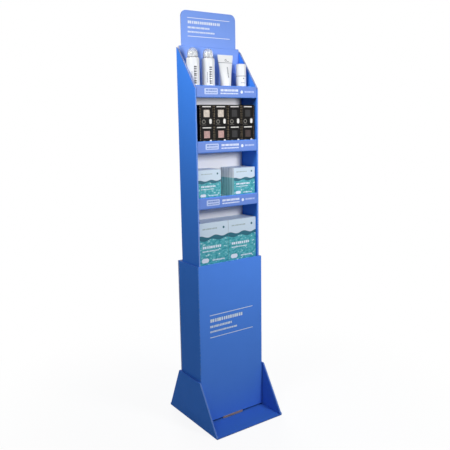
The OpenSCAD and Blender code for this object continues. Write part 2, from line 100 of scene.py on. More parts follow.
class Canvas:
    """Adds nodes to one shader tree and links them."""

    def __init__(self, tree: NodeTree) -> None:
        """Keeps the tree that is drawn on."""
        self.tree = tree

    def feed(self, socket: NodeSocket, value: Value) -> None:
        """Links a socket to another one, or sets it to a plain value.

        Args:
            socket: The input that takes the value.
            value: An output socket, a number or a list of numbers.
        """
        if isinstance(value, NodeSocket):
            self.tree.links.new(value, socket)
        else:
            socket.default_value = value

    def add(self, kind: str, inputs: dict[str, Value] | None = None, **settings: object) -> Node:
        """Adds one shader node.

        Args:
            kind: The node's type, without the ShaderNode prefix.
            inputs: Values for its inputs, by name.
            **settings: Values for its properties.

        Returns:
            The new node.
        """
        node = self.tree.nodes.new("ShaderNode" + kind)
        for name, value in settings.items():
            setattr(node, name, value)
        self.fill(node, inputs or {})
        return node

    def fill(self, node: Node, inputs: dict[str, Value]) -> None:
        """Feeds several inputs of a node, by name."""
        for name, value in inputs.items():
            self.feed(node.inputs[name], value)

    def operate(self, kind: str, operation: str, values: Iterable[Value]) -> Node:
        """Adds a node that does one sum.

        Args:
            kind: Math or VectorMath.
            operation: The sum.
            values: Values for its inputs, in order.

        Returns:
            The new node.
        """
        node = self.add(kind, operation=operation)
        for socket, value in zip(node.inputs, values):
            self.feed(socket, value)
        return node

    def math(self, operation: str, *values: Value) -> NodeSocket:
        """Adds a Math node and returns its result."""
        return self.operate("Math", operation, values).outputs[0]

    def vector(self, operation: str, *values: Value) -> NodeSocket:
        """Adds a Vector Math node and returns its vector, or its length."""
        result = "Value" if operation == "LENGTH" else "Vector"
        return self.operate("VectorMath", operation, values).outputs[result]

    def mix(self, factor: Value, low: Value, high: Value) -> NodeSocket:
        """Mixes two colours.

        Args:
            factor: The share of the second colour, from 0 to 1.
            low: The colour where the factor is 0.
            high: The colour where it is 1.

        Returns:
            The mixed colour.
        """
        node = self.add("Mix", data_type="RGBA")
        for slot, value in ((0, factor), (6, low), (7, high)):
            self.feed(node.inputs[slot], value)
        return node.outputs[2]

    def shade(self, colour: Value, tone: Value) -> NodeSocket:
        """Brightens or darkens a colour by a tone round 1."""
        inputs = {"Vector": colour if isinstance(colour, NodeSocket) else colour[:3], "Scale": tone}
        return self.add("VectorMath", inputs, operation="SCALE").outputs["Vector"]

    def step(self, value: Value, low: float, high: float) -> NodeSocket:
        """Rises smoothly from 0 at low to 1 at high, or falls where high is the smaller."""
        inputs = {"Value": value, "From Min": low, "From Max": high}
        return self.add("MapRange", inputs, interpolation_type="SMOOTHSTEP").outputs[0]

    def printed(self, past: Value) -> NodeSocket:
        """1 inside a print's edge and 0 outside it, from the distance past that edge."""
        return self.step(past, INK_EDGE, -INK_EDGE)

    def span(self, value: Value, low: float, high: float) -> NodeSocket:
        """Maps a value from 0 to 1 onto the range from low to high."""
        return self.add("MapRange", {"Value": value, "To Min": low, "To Max": high}).outputs[0]

    def noise(self, place: Value, scale: float, detail: float = 2.0) -> NodeSocket:
        """Adds a noise texture and returns its value."""
        return self.add("TexNoise", {"Vector": place, "Scale": scale, "Detail": detail}).outputs[0]

    def split(self, place: Value) -> tuple[NodeSocket, ...]:
        """The x, y and z of a vector."""
        return tuple(self.add("SeparateXYZ", {"Vector": place}).outputs)

    def join(self, x: Value, y: Value, z: Value = 0.0) -> NodeSocket:
        """A vector from x, y and z."""
        return self.add("CombineXYZ", {"X": x, "Y": y, "Z": z}).outputs[0]

    def effect(self, group: NodeTree, inputs: dict[str, Value]) -> Node:
        """Places a shared effect with its own values."""
        return self.add("Group", inputs, node_tree=group)


Lay = Callable[[Canvas, Value], Value]


def new_group(
    name: str, inputs: dict[str, str], outputs: dict[str, str]
) -> tuple[Canvas, bpy.types.NodeOutputs, bpy.types.NodeInputs]:
    """Starts a shader node group.

    Args:
        name: The group's name.
        inputs: Socket type of each input, by name, without the NodeSocket prefix.
        outputs: Socket type of each output, by name.

    Returns:
        The canvas, the sockets that bring the inputs and the sockets that take the outputs.
    """
    tree = bpy.data.node_groups.new(name, "ShaderNodeTree")
    for direction, sockets in (("INPUT", inputs), ("OUTPUT", outputs)):
        for socket, kind in sockets.items():
            tree.interface.new_socket(socket, in_out=direction, socket_type="NodeSocket" + kind)
    source = tree.nodes.new("NodeGroupInput")
    target = tree.nodes.new("NodeGroupOutput")
    return Canvas(tree), source.outputs, target.inputs


@cache
def paper_fibre() -> NodeTree:
    """Fibre of a paper liner and the slow unevenness of its ink.

    Returns:
        A group that gives a tone round 1 and a height.
    """
    canvas, given, wanted = new_group(
        "paper_fibre", {"Place": "Vector", "Mottle": "Float"}, {"Tone": "Float", "Height": "Float"}
    )
    fibre = canvas.noise(given["Place"], scale=1500.0, detail=3.0)
    cloud = canvas.noise(given["Place"], scale=14.0, detail=3.0)
    fine = canvas.math("MULTIPLY_ADD", fibre, 0.5, -0.25)
    slow = canvas.math("SUBTRACT", cloud, 0.5)
    both = canvas.math("MULTIPLY", canvas.math("ADD", fine, slow), given["Mottle"])
    canvas.feed(wanted["Tone"], canvas.math("ADD", both, 1.0))
    canvas.feed(wanted["Height"], fibre)
    return canvas.tree


@cache
def washboard() -> NodeTree:
    """Even waves along a run, such as flutes that show faintly through a liner.

    Returns:
        A group that gives a height.
    """
    canvas, given, wanted = new_group(
        "washboard", {"Run": "Float", "Pitch": "Float"}, {"Height": "Float"}
    )
    turn = canvas.math("MULTIPLY", canvas.math("DIVIDE", given["Run"], given["Pitch"]), math.tau)
    canvas.feed(wanted["Height"], canvas.math("MULTIPLY_ADD", canvas.math("SINE", turn), 0.5, 0.5))
    return canvas.tree


@cache
def worn_fold() -> NodeTree:
    """Ink that has cracked and paled along a fold, broken up by noise.

    Returns:
        A group that gives a mask.
    """
    canvas, given, wanted = new_group(
        "worn_fold", {"Place": "Vector", "Distance": "Float", "Width": "Float"}, {"Mask": "Float"}
    )
    near = canvas.math("SUBTRACT", 1.0, canvas.math("DIVIDE", given["Distance"], given["Width"]))
    patches = canvas.step(canvas.noise(given["Place"], scale=170.0, detail=4.0), low=0.3, high=0.75)
    canvas.feed(wanted["Mask"], canvas.math("MULTIPLY", canvas.math("MAXIMUM", near, 0.0), patches))
    return canvas.tree


@cache
def fluted_edge() -> NodeTree:
    """Cut edge of corrugated board: two liners with the wave of the medium between them.

    Returns:
        A group that gives a colour and a height.
    """
    canvas, given, wanted = new_group(
        "fluted_edge",
        {"Across": "Float", "Along": "Float", "Paper": "Color", "Shade": "Color"},
        {"Color": "Color", "Height": "Float"},
    )
    swing = 0.3
    turn = canvas.math("MULTIPLY", given["Along"], math.tau / FLUTE_PITCH)
    wave = canvas.math("MULTIPLY", canvas.math("SINE", turn), swing)
    off_wave = canvas.math("ABSOLUTE", canvas.math("SUBTRACT", given["Across"], wave))
    medium = canvas.step(off_wave, low=0.17, high=0.09)
    liner = canvas.step(canvas.math("ABSOLUTE", given["Across"]), low=0.33, high=0.4)
    paper = canvas.math("MAXIMUM", medium, liner)
    canvas.feed(wanted["Color"], canvas.mix(paper, given["Shade"], given["Paper"]))
    canvas.feed(wanted["Height"], paper)
    return canvas.tree


@cache
def print_bar() -> NodeTree:
    """Printed bar with rounded ends.

    Returns:
        A group that gives a mask on a flat place.
    """
    canvas, given, wanted = new_group(
        "print_bar",
        {"Place": "Vector", "Centre": "Vector", "Half": "Vector", "Round": "Float"},
        {"Mask": "Float"},
    )
    off = canvas.vector("ABSOLUTE", canvas.vector("SUBTRACT", given["Place"], given["Centre"]))
    corner = canvas.vector("SUBTRACT", off, given["Half"])
    inset = canvas.vector("ADD", corner, canvas.join(given["Round"], given["Round"]))
    outside = canvas.vector("LENGTH", canvas.vector("MAXIMUM", inset, (0.0, 0.0, 0.0)))
    canvas.feed(wanted["Mask"], canvas.printed(canvas.math("SUBTRACT", outside, given["Round"])))
    return canvas.tree


@cache
def dash_row() -> NodeTree:
    """Row of printed dashes of uneven length.

    Returns:
        A group that gives a mask on a flat place.
    """
    canvas, given, wanted = new_group(
        "dash_row",
        {"Place": "Vector", "Centre": "Vector", "Half": "Vector", "Pitch": "Float"},
        {"Mask": "Float"},
    )
    off = canvas.vector("SUBTRACT", given["Place"], given["Centre"])
    inside = canvas.vector("SUBTRACT", canvas.vector("ABSOLUTE", off), given["Half"])
    past_end, past_side, _ = canvas.split(inside)
    band = canvas.printed(canvas.math("MAXIMUM", past_end, past_side))
    from_end = canvas.split(canvas.vector("ADD", off, given["Half"]))[0]
    along = canvas.math("DIVIDE", from_end, given["Pitch"])
    number = canvas.math("FLOOR", along)
    chance = canvas.add("TexWhiteNoise", {"W": number}, noise_dimensions="1D").outputs[0]
    gap = canvas.span(chance, low=0.12, high=0.4)
    dash = canvas.math("GREATER_THAN", canvas.math("FRACT", along), gap)
    canvas.feed(wanted["Mask"], canvas.math("MULTIPLY", band, dash))
    return canvas.tree


@cache
def ring_mark() -> NodeTree:
    """Printed ring or disc.

    Returns:
        A group that gives a mask on a flat place.
    """
    canvas, given, wanted = new_group(
        "ring_mark",
        {"Place": "Vector", "Centre": "Vector", "Radius": "Float", "Band": "Float"},
        {"Mask": "Float"},
    )
    away = canvas.vector("LENGTH", canvas.vector("SUBTRACT", given["Place"], given["Centre"]))
    outer = canvas.math("SUBTRACT", away, given["Radius"])
    inner = canvas.math("SUBTRACT", canvas.math("SUBTRACT", given["Radius"], given["Band"]), away)
    canvas.feed(wanted["Mask"], canvas.printed(canvas.math("MAXIMUM", outer, inner)))
    return canvas.tree


@cache
def wave_field() -> NodeTree:
    """Field of ink below a wavy line.

    Returns:
        A group that gives a mask on a flat place.
    """
    canvas, given, wanted = new_group(
        "wave_field",
        {"Place": "Vector", "Level": "Float", "Swing": "Float", "Length": "Float", "Lead": "Float"},
        {"Mask": "Float"},
    )
    run, height, _ = canvas.split(given["Place"])
    turn = canvas.math("MULTIPLY", canvas.math("DIVIDE", run, given["Length"]), math.tau)
    sine = canvas.math("SINE", canvas.math("ADD", turn, given["Lead"]))
    wave = canvas.math("MULTIPLY", sine, given["Swing"])
    above = canvas.math("SUBTRACT", height, canvas.math("ADD", given["Level"], wave))
    canvas.feed(wanted["Mask"], canvas.printed(above))
    return canvas.tree


def half_of(size: Span) -> Place:
    """Half of a mark's size on its panel, with room in depth."""
    return (size[0] / 2, size[1] / 2, 1.0)


@dataclass(frozen=True)
class Bar:
    """Printed bar: its middle, size and end rounding on the panel, in metres."""

    centre: Span
    size: Span
    round: float

    def mask(self, canvas: Canvas, place: Value) -> NodeSocket:
        """Where the bar is printed."""
        inputs = {
            "Place": place, "Centre": (*self.centre, 0.0),
            "Half": half_of(self.size), "Round": self.round,
        }
        return canvas.effect(print_bar(), inputs).outputs["Mask"]


@dataclass(frozen=True)
class Dashes:
    """Row of printed dashes, level or upright: its middle, its length and height, and the dash pitch."""

    centre: Span
    size: Span
    pitch: float
    upright: bool = False

    def mask(self, canvas: Canvas, place: Value) -> NodeSocket:
        """Where the dashes are printed, as many whole ones as fit best.

        Args:
            canvas: The tree to draw on.
            place: The flat place that the row is laid out on.

        Returns:
            The mask.
        """
        centre = self.centre
        if self.upright:
            across, up, _ = canvas.split(place)
            place = canvas.join(up, across)
            centre = (centre[1], centre[0])
        inputs = {
            "Place": place, "Centre": (*centre, 0.0), "Half": half_of(self.size),
            "Pitch": self.size[0] / round(self.size[0] / self.pitch),
        }
        return canvas.effect(dash_row(), inputs).outputs["Mask"]


@dataclass(frozen=True)
class Ring:
    """Printed ring, or a disc where the band is as wide as the radius."""

    centre: Span
    radius: float
    band: float

    def mask(self, canvas: Canvas, place: Value) -> NodeSocket:
        """Where the ring is printed."""
        inputs = {
            "Place": place, "Centre": (*self.centre, 0.0), "Radius": self.radius, "Band": self.band,
        }
        return canvas.effect(ring_mark(), inputs).outputs["Mask"]


@dataclass(frozen=True)
class Wave:
    """Field of ink below a wavy line: the line's level, swing, length and lead."""

    level: float
    swing: float
    length: float
    lead: float

    def mask(self, canvas: Canvas, place: Value) -> NodeSocket:
        """Where the field is printed."""
        inputs = {
            "Place": place, "Level": self.level, "Swing": self.swing,
            "Length": self.length, "Lead": self.lead,
        }
        return canvas.effect(wave_field(), inputs).outputs["Mask"]


Mark = Union[Bar, Dashes, Ring, Wave]


@dataclass(frozen=True)
class Ink:
    """Marks that are printed in one colour."""

    colour: Colour
    marks: tuple[Mark, ...]

    def over(self, canvas: Canvas, ground: Value, place: Value) -> NodeSocket:
        """Prints the marks over a ground colour.

        Args:
            canvas: The tree to draw on.
            ground: The colour below.
            place: The flat place that the marks are laid out on.

        Returns:
            The colour with the marks on it.
        """
        mask: Value = 0.0
        for mark in self.marks:
            mask = canvas.math("MAXIMUM", mask, mark.mask(canvas, place))
        return canvas.mix(mask, ground, self.colour)


@dataclass(frozen=True)
class RuledPrint:
    """Rows of dashes between two rules, flush at the left.

    The rules have one size and two heights over the middle. Each row has its height over the middle, its
    length, its depth and its pitch.
    """

    colour: Colour
    rule: Span
    rule_z: Span
    rows: tuple[tuple[float, float, float, float], ...]

    def ink(self, middle_z: float) -> Ink:
        """Lays the print out on a panel.

        Args:
            middle_z: The height of the print's middle.

        Returns:
            The rules and the rows in their ink.
        """
        length, depth = self.rule
        rules = tuple(Bar((0.0, middle_z + z), self.rule, depth / 2) for z in self.rule_z)
        rows = tuple(
            Dashes(((row_length - length) / 2, middle_z + z), (row_length, row_depth), pitch)
            for z, row_length, row_depth, pitch in self.rows
        )
        return Ink(self.colour, rules + rows)


@dataclass(frozen=True)
class Crease:
    """Fold line of the board: a point on it and its direction, on the side of positive X."""

    point: Place
    direction: Place

    def distance(self, canvas: Canvas, place: Value) -> NodeSocket:
        """How far a place lies from the line.

        Args:
            canvas: The tree to draw on.
            place: The place.

        Returns:
            The distance in metres.
        """
        along = tuple(Vector(self.direction).normalized())
        off = canvas.vector("SUBTRACT", place, self.point)
        return canvas.vector("LENGTH", canvas.vector("CROSS_PRODUCT", off, along))


def new_material(name: str) -> tuple[Material, Canvas, Node, NodeSocket]:
    """Starts a material.

    Args:
        name: The material's name.

    Returns:
        The material, its canvas, its shader and the Object coordinates.
    """
    material = bpy.data.materials.new(name)
    material.use_nodes = True
    canvas = Canvas(material.node_tree)
    shader = material.node_tree.nodes["Principled BSDF"]
    place = canvas.add("TexCoord").outputs["Object"]
    return material, canvas, shader, place


def bump(canvas: Canvas, shader: Node, height: Value, depth: float) -> None:
    """Gives a shader a relief.

    Args:
        canvas: The tree to draw on.
        shader: The shader that takes the normal.
        height: The relief from 0 to 1.
        depth: How deep the relief is, in metres.
    """
    node = canvas.add("Bump", {"Height": height, "Strength": 1.0, "Distance": depth})
    canvas.feed(shader.inputs["Normal"], node.outputs["Normal"])


@dataclass(frozen=True)
class Liner:
    """Paper liner of the board: its colour, the colour where a fold has paled, and its gloss."""

    name: str
    colour: Colour
    worn: Colour
    mottle: float
    roughness: float
    specular: float
    rough_swing: float = 0.16
    worn_rough: float = 0.2
    fibre_depth: float = 0.00002
    flute_depth: float = 0.00005
    wear_width: float = 0.004

    def material(self, part: str, inks: Iterable[Ink] = (), creases: Iterable[Crease] = ()) -> Material:
        """Builds the liner's material for one part.

        Args:
            part: The part's name.
            inks: What is printed on the part's front.
            creases: The fold lines along which it is worn.

        Returns:
            The material.
        """
        material, canvas, shader, place = new_material(f"{self.name}_{part}")
        x, y, z = canvas.split(place)
        fibre = canvas.effect(paper_fibre(), {"Place": place, "Mottle": self.mottle}).outputs
        colour: Value = self.colour
        for ink in inks:
            colour = ink.over(canvas, colour, canvas.join(x, z))
        colour = canvas.shade(colour, fibre["Tone"])
        mirrored = canvas.join(canvas.math("ABSOLUTE", x), y, z)
        wear: Value = 0.0
        for crease in creases:
            distance = crease.distance(canvas, mirrored)
            inputs = {"Place": place, "Distance": distance, "Width": self.wear_width}
            wear = canvas.math("MAXIMUM", wear, canvas.effect(worn_fold(), inputs).outputs["Mask"])
        smoothest = self.roughness - self.rough_swing / 2
        rough = canvas.math("MULTIPLY_ADD", fibre["Height"], self.rough_swing, smoothest)
        canvas.fill(shader, {
            "Base Color": canvas.mix(wear, colour, self.worn),
            "Roughness": canvas.math("MULTIPLY_ADD", wear, self.worn_rough, rough),
            "Specular IOR Level": self.specular,
        })
        run = canvas.math("ADD", x, y)
        flutes = canvas.effect(washboard(), {"Run": run, "Pitch": FLUTE_PITCH}).outputs["Height"]
        fibre_share = self.fibre_depth / self.flute_depth
        relief = canvas.math("MULTIPLY_ADD", fibre["Height"], fibre_share, flutes)
        bump(canvas, shader, relief, self.flute_depth)
        return material


class Across(Enum):
    """Direction in which the thickness of a board lies at its cut edge."""

    X = 0
    Y = 1
    Z = 2
    RIM = 3


@dataclass(frozen=True)
class CutEdge:
    """Cut edge of the board, with its liners and flutes: its paper, and the shade between the flutes."""

    name: str
    paper: Colour
    shade: Colour
    mottle: float = 0.5
    roughness: Span = (0.75, 0.95)
    specular: float = 0.2
    depth: float = 0.0004

    def material(
        self, part: str, across: Across, first_ply: float, rim: tuple[float, Span] = (0.0, (0.0, 0.0))
    ) -> Material:
        """Builds the cut edge's material for one part.

        Args:
            part: The part's name.
            across: The direction of the board's thickness.
            first_ply: Middle of the first ply in that direction.
            rim: Half width and front and back of a tube, whose rim is measured from outside.

        Returns:
            The material.
        """
        material, canvas, shader, place = new_material(f"{self.name}_{part}")
        x, y, z = canvas.split(place)
        if across is Across.RIM:
            half, (front, back) = rim
            sides = canvas.math("SUBTRACT", half, canvas.math("ABSOLUTE", x))
            from_front = canvas.math("SUBTRACT", y, front)
            ends = canvas.math("MINIMUM", from_front, canvas.math("SUBTRACT", back, y))
            through = canvas.math("MINIMUM", sides, ends)
        else:
            through = (canvas.math("ABSOLUTE", x), y, z)[across.value]
        off = canvas.math("SUBTRACT", through, first_ply)
        off = canvas.math("WRAP", off, PLY_PITCH / 2, -PLY_PITCH / 2)
        inputs = {
            "Across": canvas.math("DIVIDE", off, BOARD),
            "Along": canvas.math("ADD", canvas.math("ADD", x, y), z),
            "Paper": self.paper, "Shade": self.shade,
        }
        edge = canvas.effect(fluted_edge(), inputs).outputs
        fibre = canvas.effect(paper_fibre(), {"Place": place, "Mottle": self.mottle}).outputs
        canvas.fill(shader, {
            "Base Color": canvas.shade(edge["Color"], fibre["Tone"]),
            "Roughness": canvas.span(fibre["Height"], *self.roughness),
            "Specular IOR Level": self.specular,
        })
        bump(canvas, shader, edge["Height"], self.depth)
        return material


class Surface(Enum):
    """What a face of a solid shows, which decides its material."""

    FRONT = auto()
    PRINT = auto()
    INSIDE = auto()
    CUT = auto()
    FOLD = auto()
    TONGUE = auto()
    STEEL = auto()
    WINDOW = auto()


Chooser = Callable[[Vector, Vector], Surface]


def dress(node: str, finishes: dict[Surface, Material], choose: Chooser) -> None:
    """Gives a solid its materials, face by face.

    Args:
        node: The solid's name.
        finishes: The material of each kind of surface.
        choose: Gives a face's surface from its middle and its normal.
    """
    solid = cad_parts[node]
    solid.data.materials.clear()
    for material in finishes.values():
        solid.data.materials.append(material)
    slots = {surface: number for number, surface in enumerate(finishes)}
    for face in solid.data.polygons:
        face.material_index = slots[choose(face.center, face.normal)]
    LOG.info("dressed %s with %d materials", node, len(finishes))


def dress_plain(node: str, material: Material) -> None:
    """Gives a solid one material all over."""
    dress(node, {Surface.PRINT: material}, lambda *_: Surface.PRINT)


def to_object(name: str, mesh: bmesh.types.BMesh, material: Material) -> Object:
    """Turns a finished bmesh into a smooth-shaded piece at the origin.

    Args:
        name: The piece's name.
        mesh: The shape, which is freed.
        material: Its material.

    Returns:
        The new object.
    """
    bmesh.ops.recalc_face_normals(mesh, faces=mesh.faces)
    data = bpy.data.meshes.new(name)
    mesh.to_mesh(data)
    mesh.free()
    data.shade_smooth()
    data.set_sharp_from_angle(angle=SHARP_ANGLE)
    data.materials.append(material)
    piece = bpy.data.objects.new(name, data)
    bpy.context.scene.collection.objects.link(piece)
    return piece


def add_piece(piece: Object, slot: str, *replaced: str) -> None:
    """Ties a new piece to the tower.

    Args:
        piece: The piece, in place.
        slot: The record's material slot, which is not used.
        *replaced: The solids that the piece stands for.
    """
    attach(piece, BODY)
    if replaced:
        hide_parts(*replaced)
    LOG.info("made %s with %d faces", piece.name, len(piece.data.polygons))


BLUE_PRINT = Liner("blue_print", srgb(63, 132, 234), srgb(140, 172, 236), 0.06, 0.58, 0.07)
# Glossier blue for the header and its pocket flap, with its paler colour painted as sheen and light at
# the top
BLUE_HEADER_SHEEN = Liner("blue_varnish", srgb(123, 160, 240), srgb(152, 178, 236), 0.05, 0.45, 0.25)
# Lavender blue for the shelf lips: a paler copy of the blue print, painted light
BLUE_LIP_LIT = Liner("blue_lip", srgb(104, 138, 217), srgb(140, 166, 230), 0.05, 0.45, 0.2)
# Blue for the sleeve's front: a paler copy of its sides' blue, painted light, with a little more gloss
BLUE_LIT_FRONT = Liner("blue_satin", srgb(86, 145, 246), srgb(140, 172, 236), 0.06, 0.55, 0.12)
BLUE_PLAIN = Liner("blue_plain", srgb(66, 118, 212), srgb(128, 160, 232), 0.06, 0.6, 0.07)
# Paler blue on the rolled hems and front folds, a painted highlight
BLUE_FOLD_HIGHLIGHT = Liner("blue_fold", srgb(110, 150, 230), srgb(160, 186, 240), 0.06, 0.55, 0.1)
WHITE_LINER = Liner("white_liner", srgb(234, 234, 238), srgb(216, 214, 216), 0.05, 0.6, 0.2)
KRAFT_LINER = Liner("kraft_liner", srgb(200, 164, 140), srgb(216, 186, 164), 0.25, 0.75, 0.2)
BLUE_EDGE = CutEdge("blue_edge", srgb(140, 166, 232), srgb(96, 124, 200))
BLUE_RIM = CutEdge("blue_rim", srgb(92, 134, 222), srgb(66, 106, 196))
# Dark edge, painted shade: the pad's front edges seen in the shadowed slit under the sleeve
SHADED_PAD_EDGE = CutEdge("dark_edge", srgb(44, 66, 126), srgb(26, 40, 84))
PALE_EDGE = CutEdge("pale_edge", srgb(214, 212, 210), srgb(150, 148, 150))
KRAFT_EDGE = CutEdge("kraft_edge", srgb(208, 190, 184), srgb(140, 122, 120))
WHITE_INK = srgb(226, 233, 248)
BRIGHT_INK = srgb(232, 245, 255)
PALE_INK = srgb(186, 202, 240)
BLUE_INK = srgb(96, 126, 200)


@dataclass
class Foot:
    """Foot of the tower: floor panel and two tapered wings whose edges roll inwards."""

    node: str = "foot"
    wing_toe: float = 0.006
    front_reach: float = 0.107
    rear_reach: float = 0.076

    def dress(self) -> None:
        """Prints the sheet on both sides and shows its cut edges."""
        low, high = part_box(self.node)
        rise = high.z - self.wing_toe
        creases = (
            Crease((high.x, low.y, self.wing_toe), (0.0, self.front_reach, rise)),
            Crease((high.x, high.y, self.wing_toe), (0.0, -self.rear_reach, rise)),
            Crease((high.x, 0.0, 0.0), (0.0, 1.0, 0.0)),
        )

        def choose(middle: Vector, normal: Vector) -> Surface:
            """Outer wing, floor and gussets, the floor's cut edges, or the hems, painted paler as a
            highlight.

            Args:
                middle: The face's middle.
                normal: The face's normal.

            Returns:
                What it shows.
            """
            if abs(normal.y) > EXACT and middle.z < BOARD:
                return Surface.CUT
            if abs(normal.y) > FACING and normal.z > LEANING:
                return Surface.FOLD
            inside = normal.z > FACING or (abs(normal.x) > SQUARE and normal.x * middle.x < 0)
            return Surface.INSIDE if inside else Surface.PRINT

        finishes = {
            Surface.PRINT: BLUE_PRINT.material(self.node, creases=creases),
            Surface.INSIDE: BLUE_PLAIN.material(self.node, creases=creases),
            Surface.CUT: BLUE_EDGE.material(self.node, Across.Z, BOARD / 2),
            Surface.FOLD: BLUE_FOLD_HIGHLIGHT.material(self.node),
        }
        dress(self.node, finishes, choose)


@dataclass
class Sleeve:
    """Sleeve round the plinth, with dashes and rules printed on its front."""

    node: str = "sleeve"
    print_z: float = 0.378
    panel: RuledPrint = RuledPrint(BRIGHT_INK, (0.2, 0.0026), (0.05, -0.036), (
        (0.029, 0.15, 0.0125, 0.0102),
        (0.006, 0.1, 0.0085, 0.0072),
        (-0.014, 0.124, 0.0066, 0.0056),
    ))

    def dress(self) -> None:
        """Prints the outside, leaves the inside bare and shows the cut rims."""
        low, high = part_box(self.node)
        middle_y = (low.y + high.y) / 2
        creases = tuple(Crease((high.x, y, 0.0), (0.0, 0.0, 1.0)) for y in (low.y, high.y))

        def choose(middle: Vector, normal: Vector) -> Surface:
            """Front, other outside, inside or rim.

            Args:
                middle: The face's middle.
                normal: The face's normal.

            Returns:
                What it shows.
            """
            if abs(normal.z) > SQUARE:
                return Surface.CUT
            depth = min(high.x - abs(middle.x), middle.y - low.y, high.y - middle.y)
            if depth > TOLERANCE or normal.x * middle.x + normal.y * (middle.y - middle_y) < 0:
                return Surface.INSIDE
            return Surface.FRONT if normal.y < -EXACT else Surface.PRINT

        finishes = {
            Surface.FRONT: BLUE_LIT_FRONT.material("sleeve_front", (self.panel.ink(self.print_z),), creases),
            Surface.PRINT: BLUE_PRINT.material(self.node, creases=creases),
            Surface.INSIDE: WHITE_LINER.material("sleeve_inside"),
            Surface.CUT: BLUE_RIM.material(self.node, Across.RIM, BOARD / 2, (high.x, (low.y, high.y))),
        }
        dress(self.node, finishes, choose)


@dataclass
class Column:
    """Column of back and double sides, with the header card in its pocket and the false back in it."""

    node: str = "column"
    card: str = "header_card"
    spine: str = "spine"
    double: float = 0.0072
    panel: RuledPrint = RuledPrint(WHITE_INK, (0.184, 0.0022), (0.036, -0.027), (
        (0.021, 0.14, 0.0095, 0.0082),
        (0.003, 0.094, 0.0064, 0.0056),
        (-0.012, 0.116, 0.0056, 0.005),
    ))

    def dress(self) -> None:
        """Prints the faces that show, leaves the hidden ones bare and shows the cut edges."""
        low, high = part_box(self.node)
        bay = high.x - self.double
        creases = (
            Crease((high.x - self.double / 2, low.y, 0.0), (0.0, 0.0, 1.0)),
            Crease((high.x, high.y, 0.0), (0.0, 0.0, 1.0)),
        )

        def choose(middle: Vector, normal: Vector) -> Surface:
            """Printed, bare, cut, the varnished flap before the header card, or the front folds.

            The flap is painted paler as sheen, and the folds paler as a highlight.

            Args:
                middle: The face's middle.
                normal: The face's normal.

            Returns:
                What it shows.
            """
            across = abs(middle.x)
            if across > bay - TOLERANCE / 2:
                if abs(normal.x) < SLIGHT and (normal.z > LEANING or normal.z < -SQUARE):
                    return Surface.CUT
                if abs(normal.x) > FACING:
                    depth = high.x - across if normal.x * middle.x > 0 else across - bay
                    return Surface.PRINT if depth < TOLERANCE else Surface.INSIDE
                if normal.y < 0:
                    return Surface.FOLD
                return Surface.PRINT if middle.y > high.y - TOLERANCE else Surface.INSIDE
            if abs(normal.x) > SQUARE:
                return Surface.CUT
            if normal.z > LEANING or normal.y < -FACING and middle.y < high.y - self.double:
                return Surface.FRONT
            return Surface.PRINT if normal.y > FACING else Surface.INSIDE

        finishes = {
            Surface.PRINT: BLUE_PRINT.material(self.node, creases=creases),
            Surface.INSIDE: WHITE_LINER.material("column_inside"),
            Surface.CUT: BLUE_EDGE.material(self.node, Across.X, high.x - BOARD / 2),
            Surface.FRONT: BLUE_HEADER_SHEEN.material(self.node),
            Surface.FOLD: BLUE_FOLD_HIGHLIGHT.material(self.node),
        }
        dress(self.node, finishes, choose)
        self.dress_card(high.z)
        self.dress_spine()

    def dress_card(self, pocket_z: float) -> None:
        """Prints the header card and shows its cut edge.

        Args:
            pocket_z: The height at which the card leaves its pocket.
        """
        low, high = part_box(self.card)

        def choose(_: Vector, normal: Vector) -> Surface:
            """Front, back or cut edge."""
            if abs(normal.y) < FACING:
                return Surface.CUT
            return Surface.FRONT if normal.y < 0 else Surface.PRINT

        ink = self.panel.ink((pocket_z + high.z) / 2)
        finishes = {
            Surface.FRONT: BLUE_HEADER_SHEEN.material("header_front", (ink,)),
            Surface.PRINT: BLUE_PRINT.material("header_back"),
            Surface.CUT: BLUE_EDGE.material(self.card, Across.Y, (low.y + high.y) / 2),
        }
        dress(self.card, finishes, choose)

    def dress_spine(self) -> None:
        """Leaves the false back white, with its cut edges."""
        low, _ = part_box(self.spine)

        def choose(_: Vector, normal: Vector) -> Surface:
            """White liner or cut edge."""
            return Surface.CUT if abs(normal.z) > SQUARE else Surface.INSIDE

        finishes = {
            Surface.INSIDE: WHITE_LINER.material(self.spine),
            Surface.CUT: PALE_EDGE.material(self.spine, Across.Y, low.y + BOARD / 2),
        }
        dress(self.spine, finishes, choose)


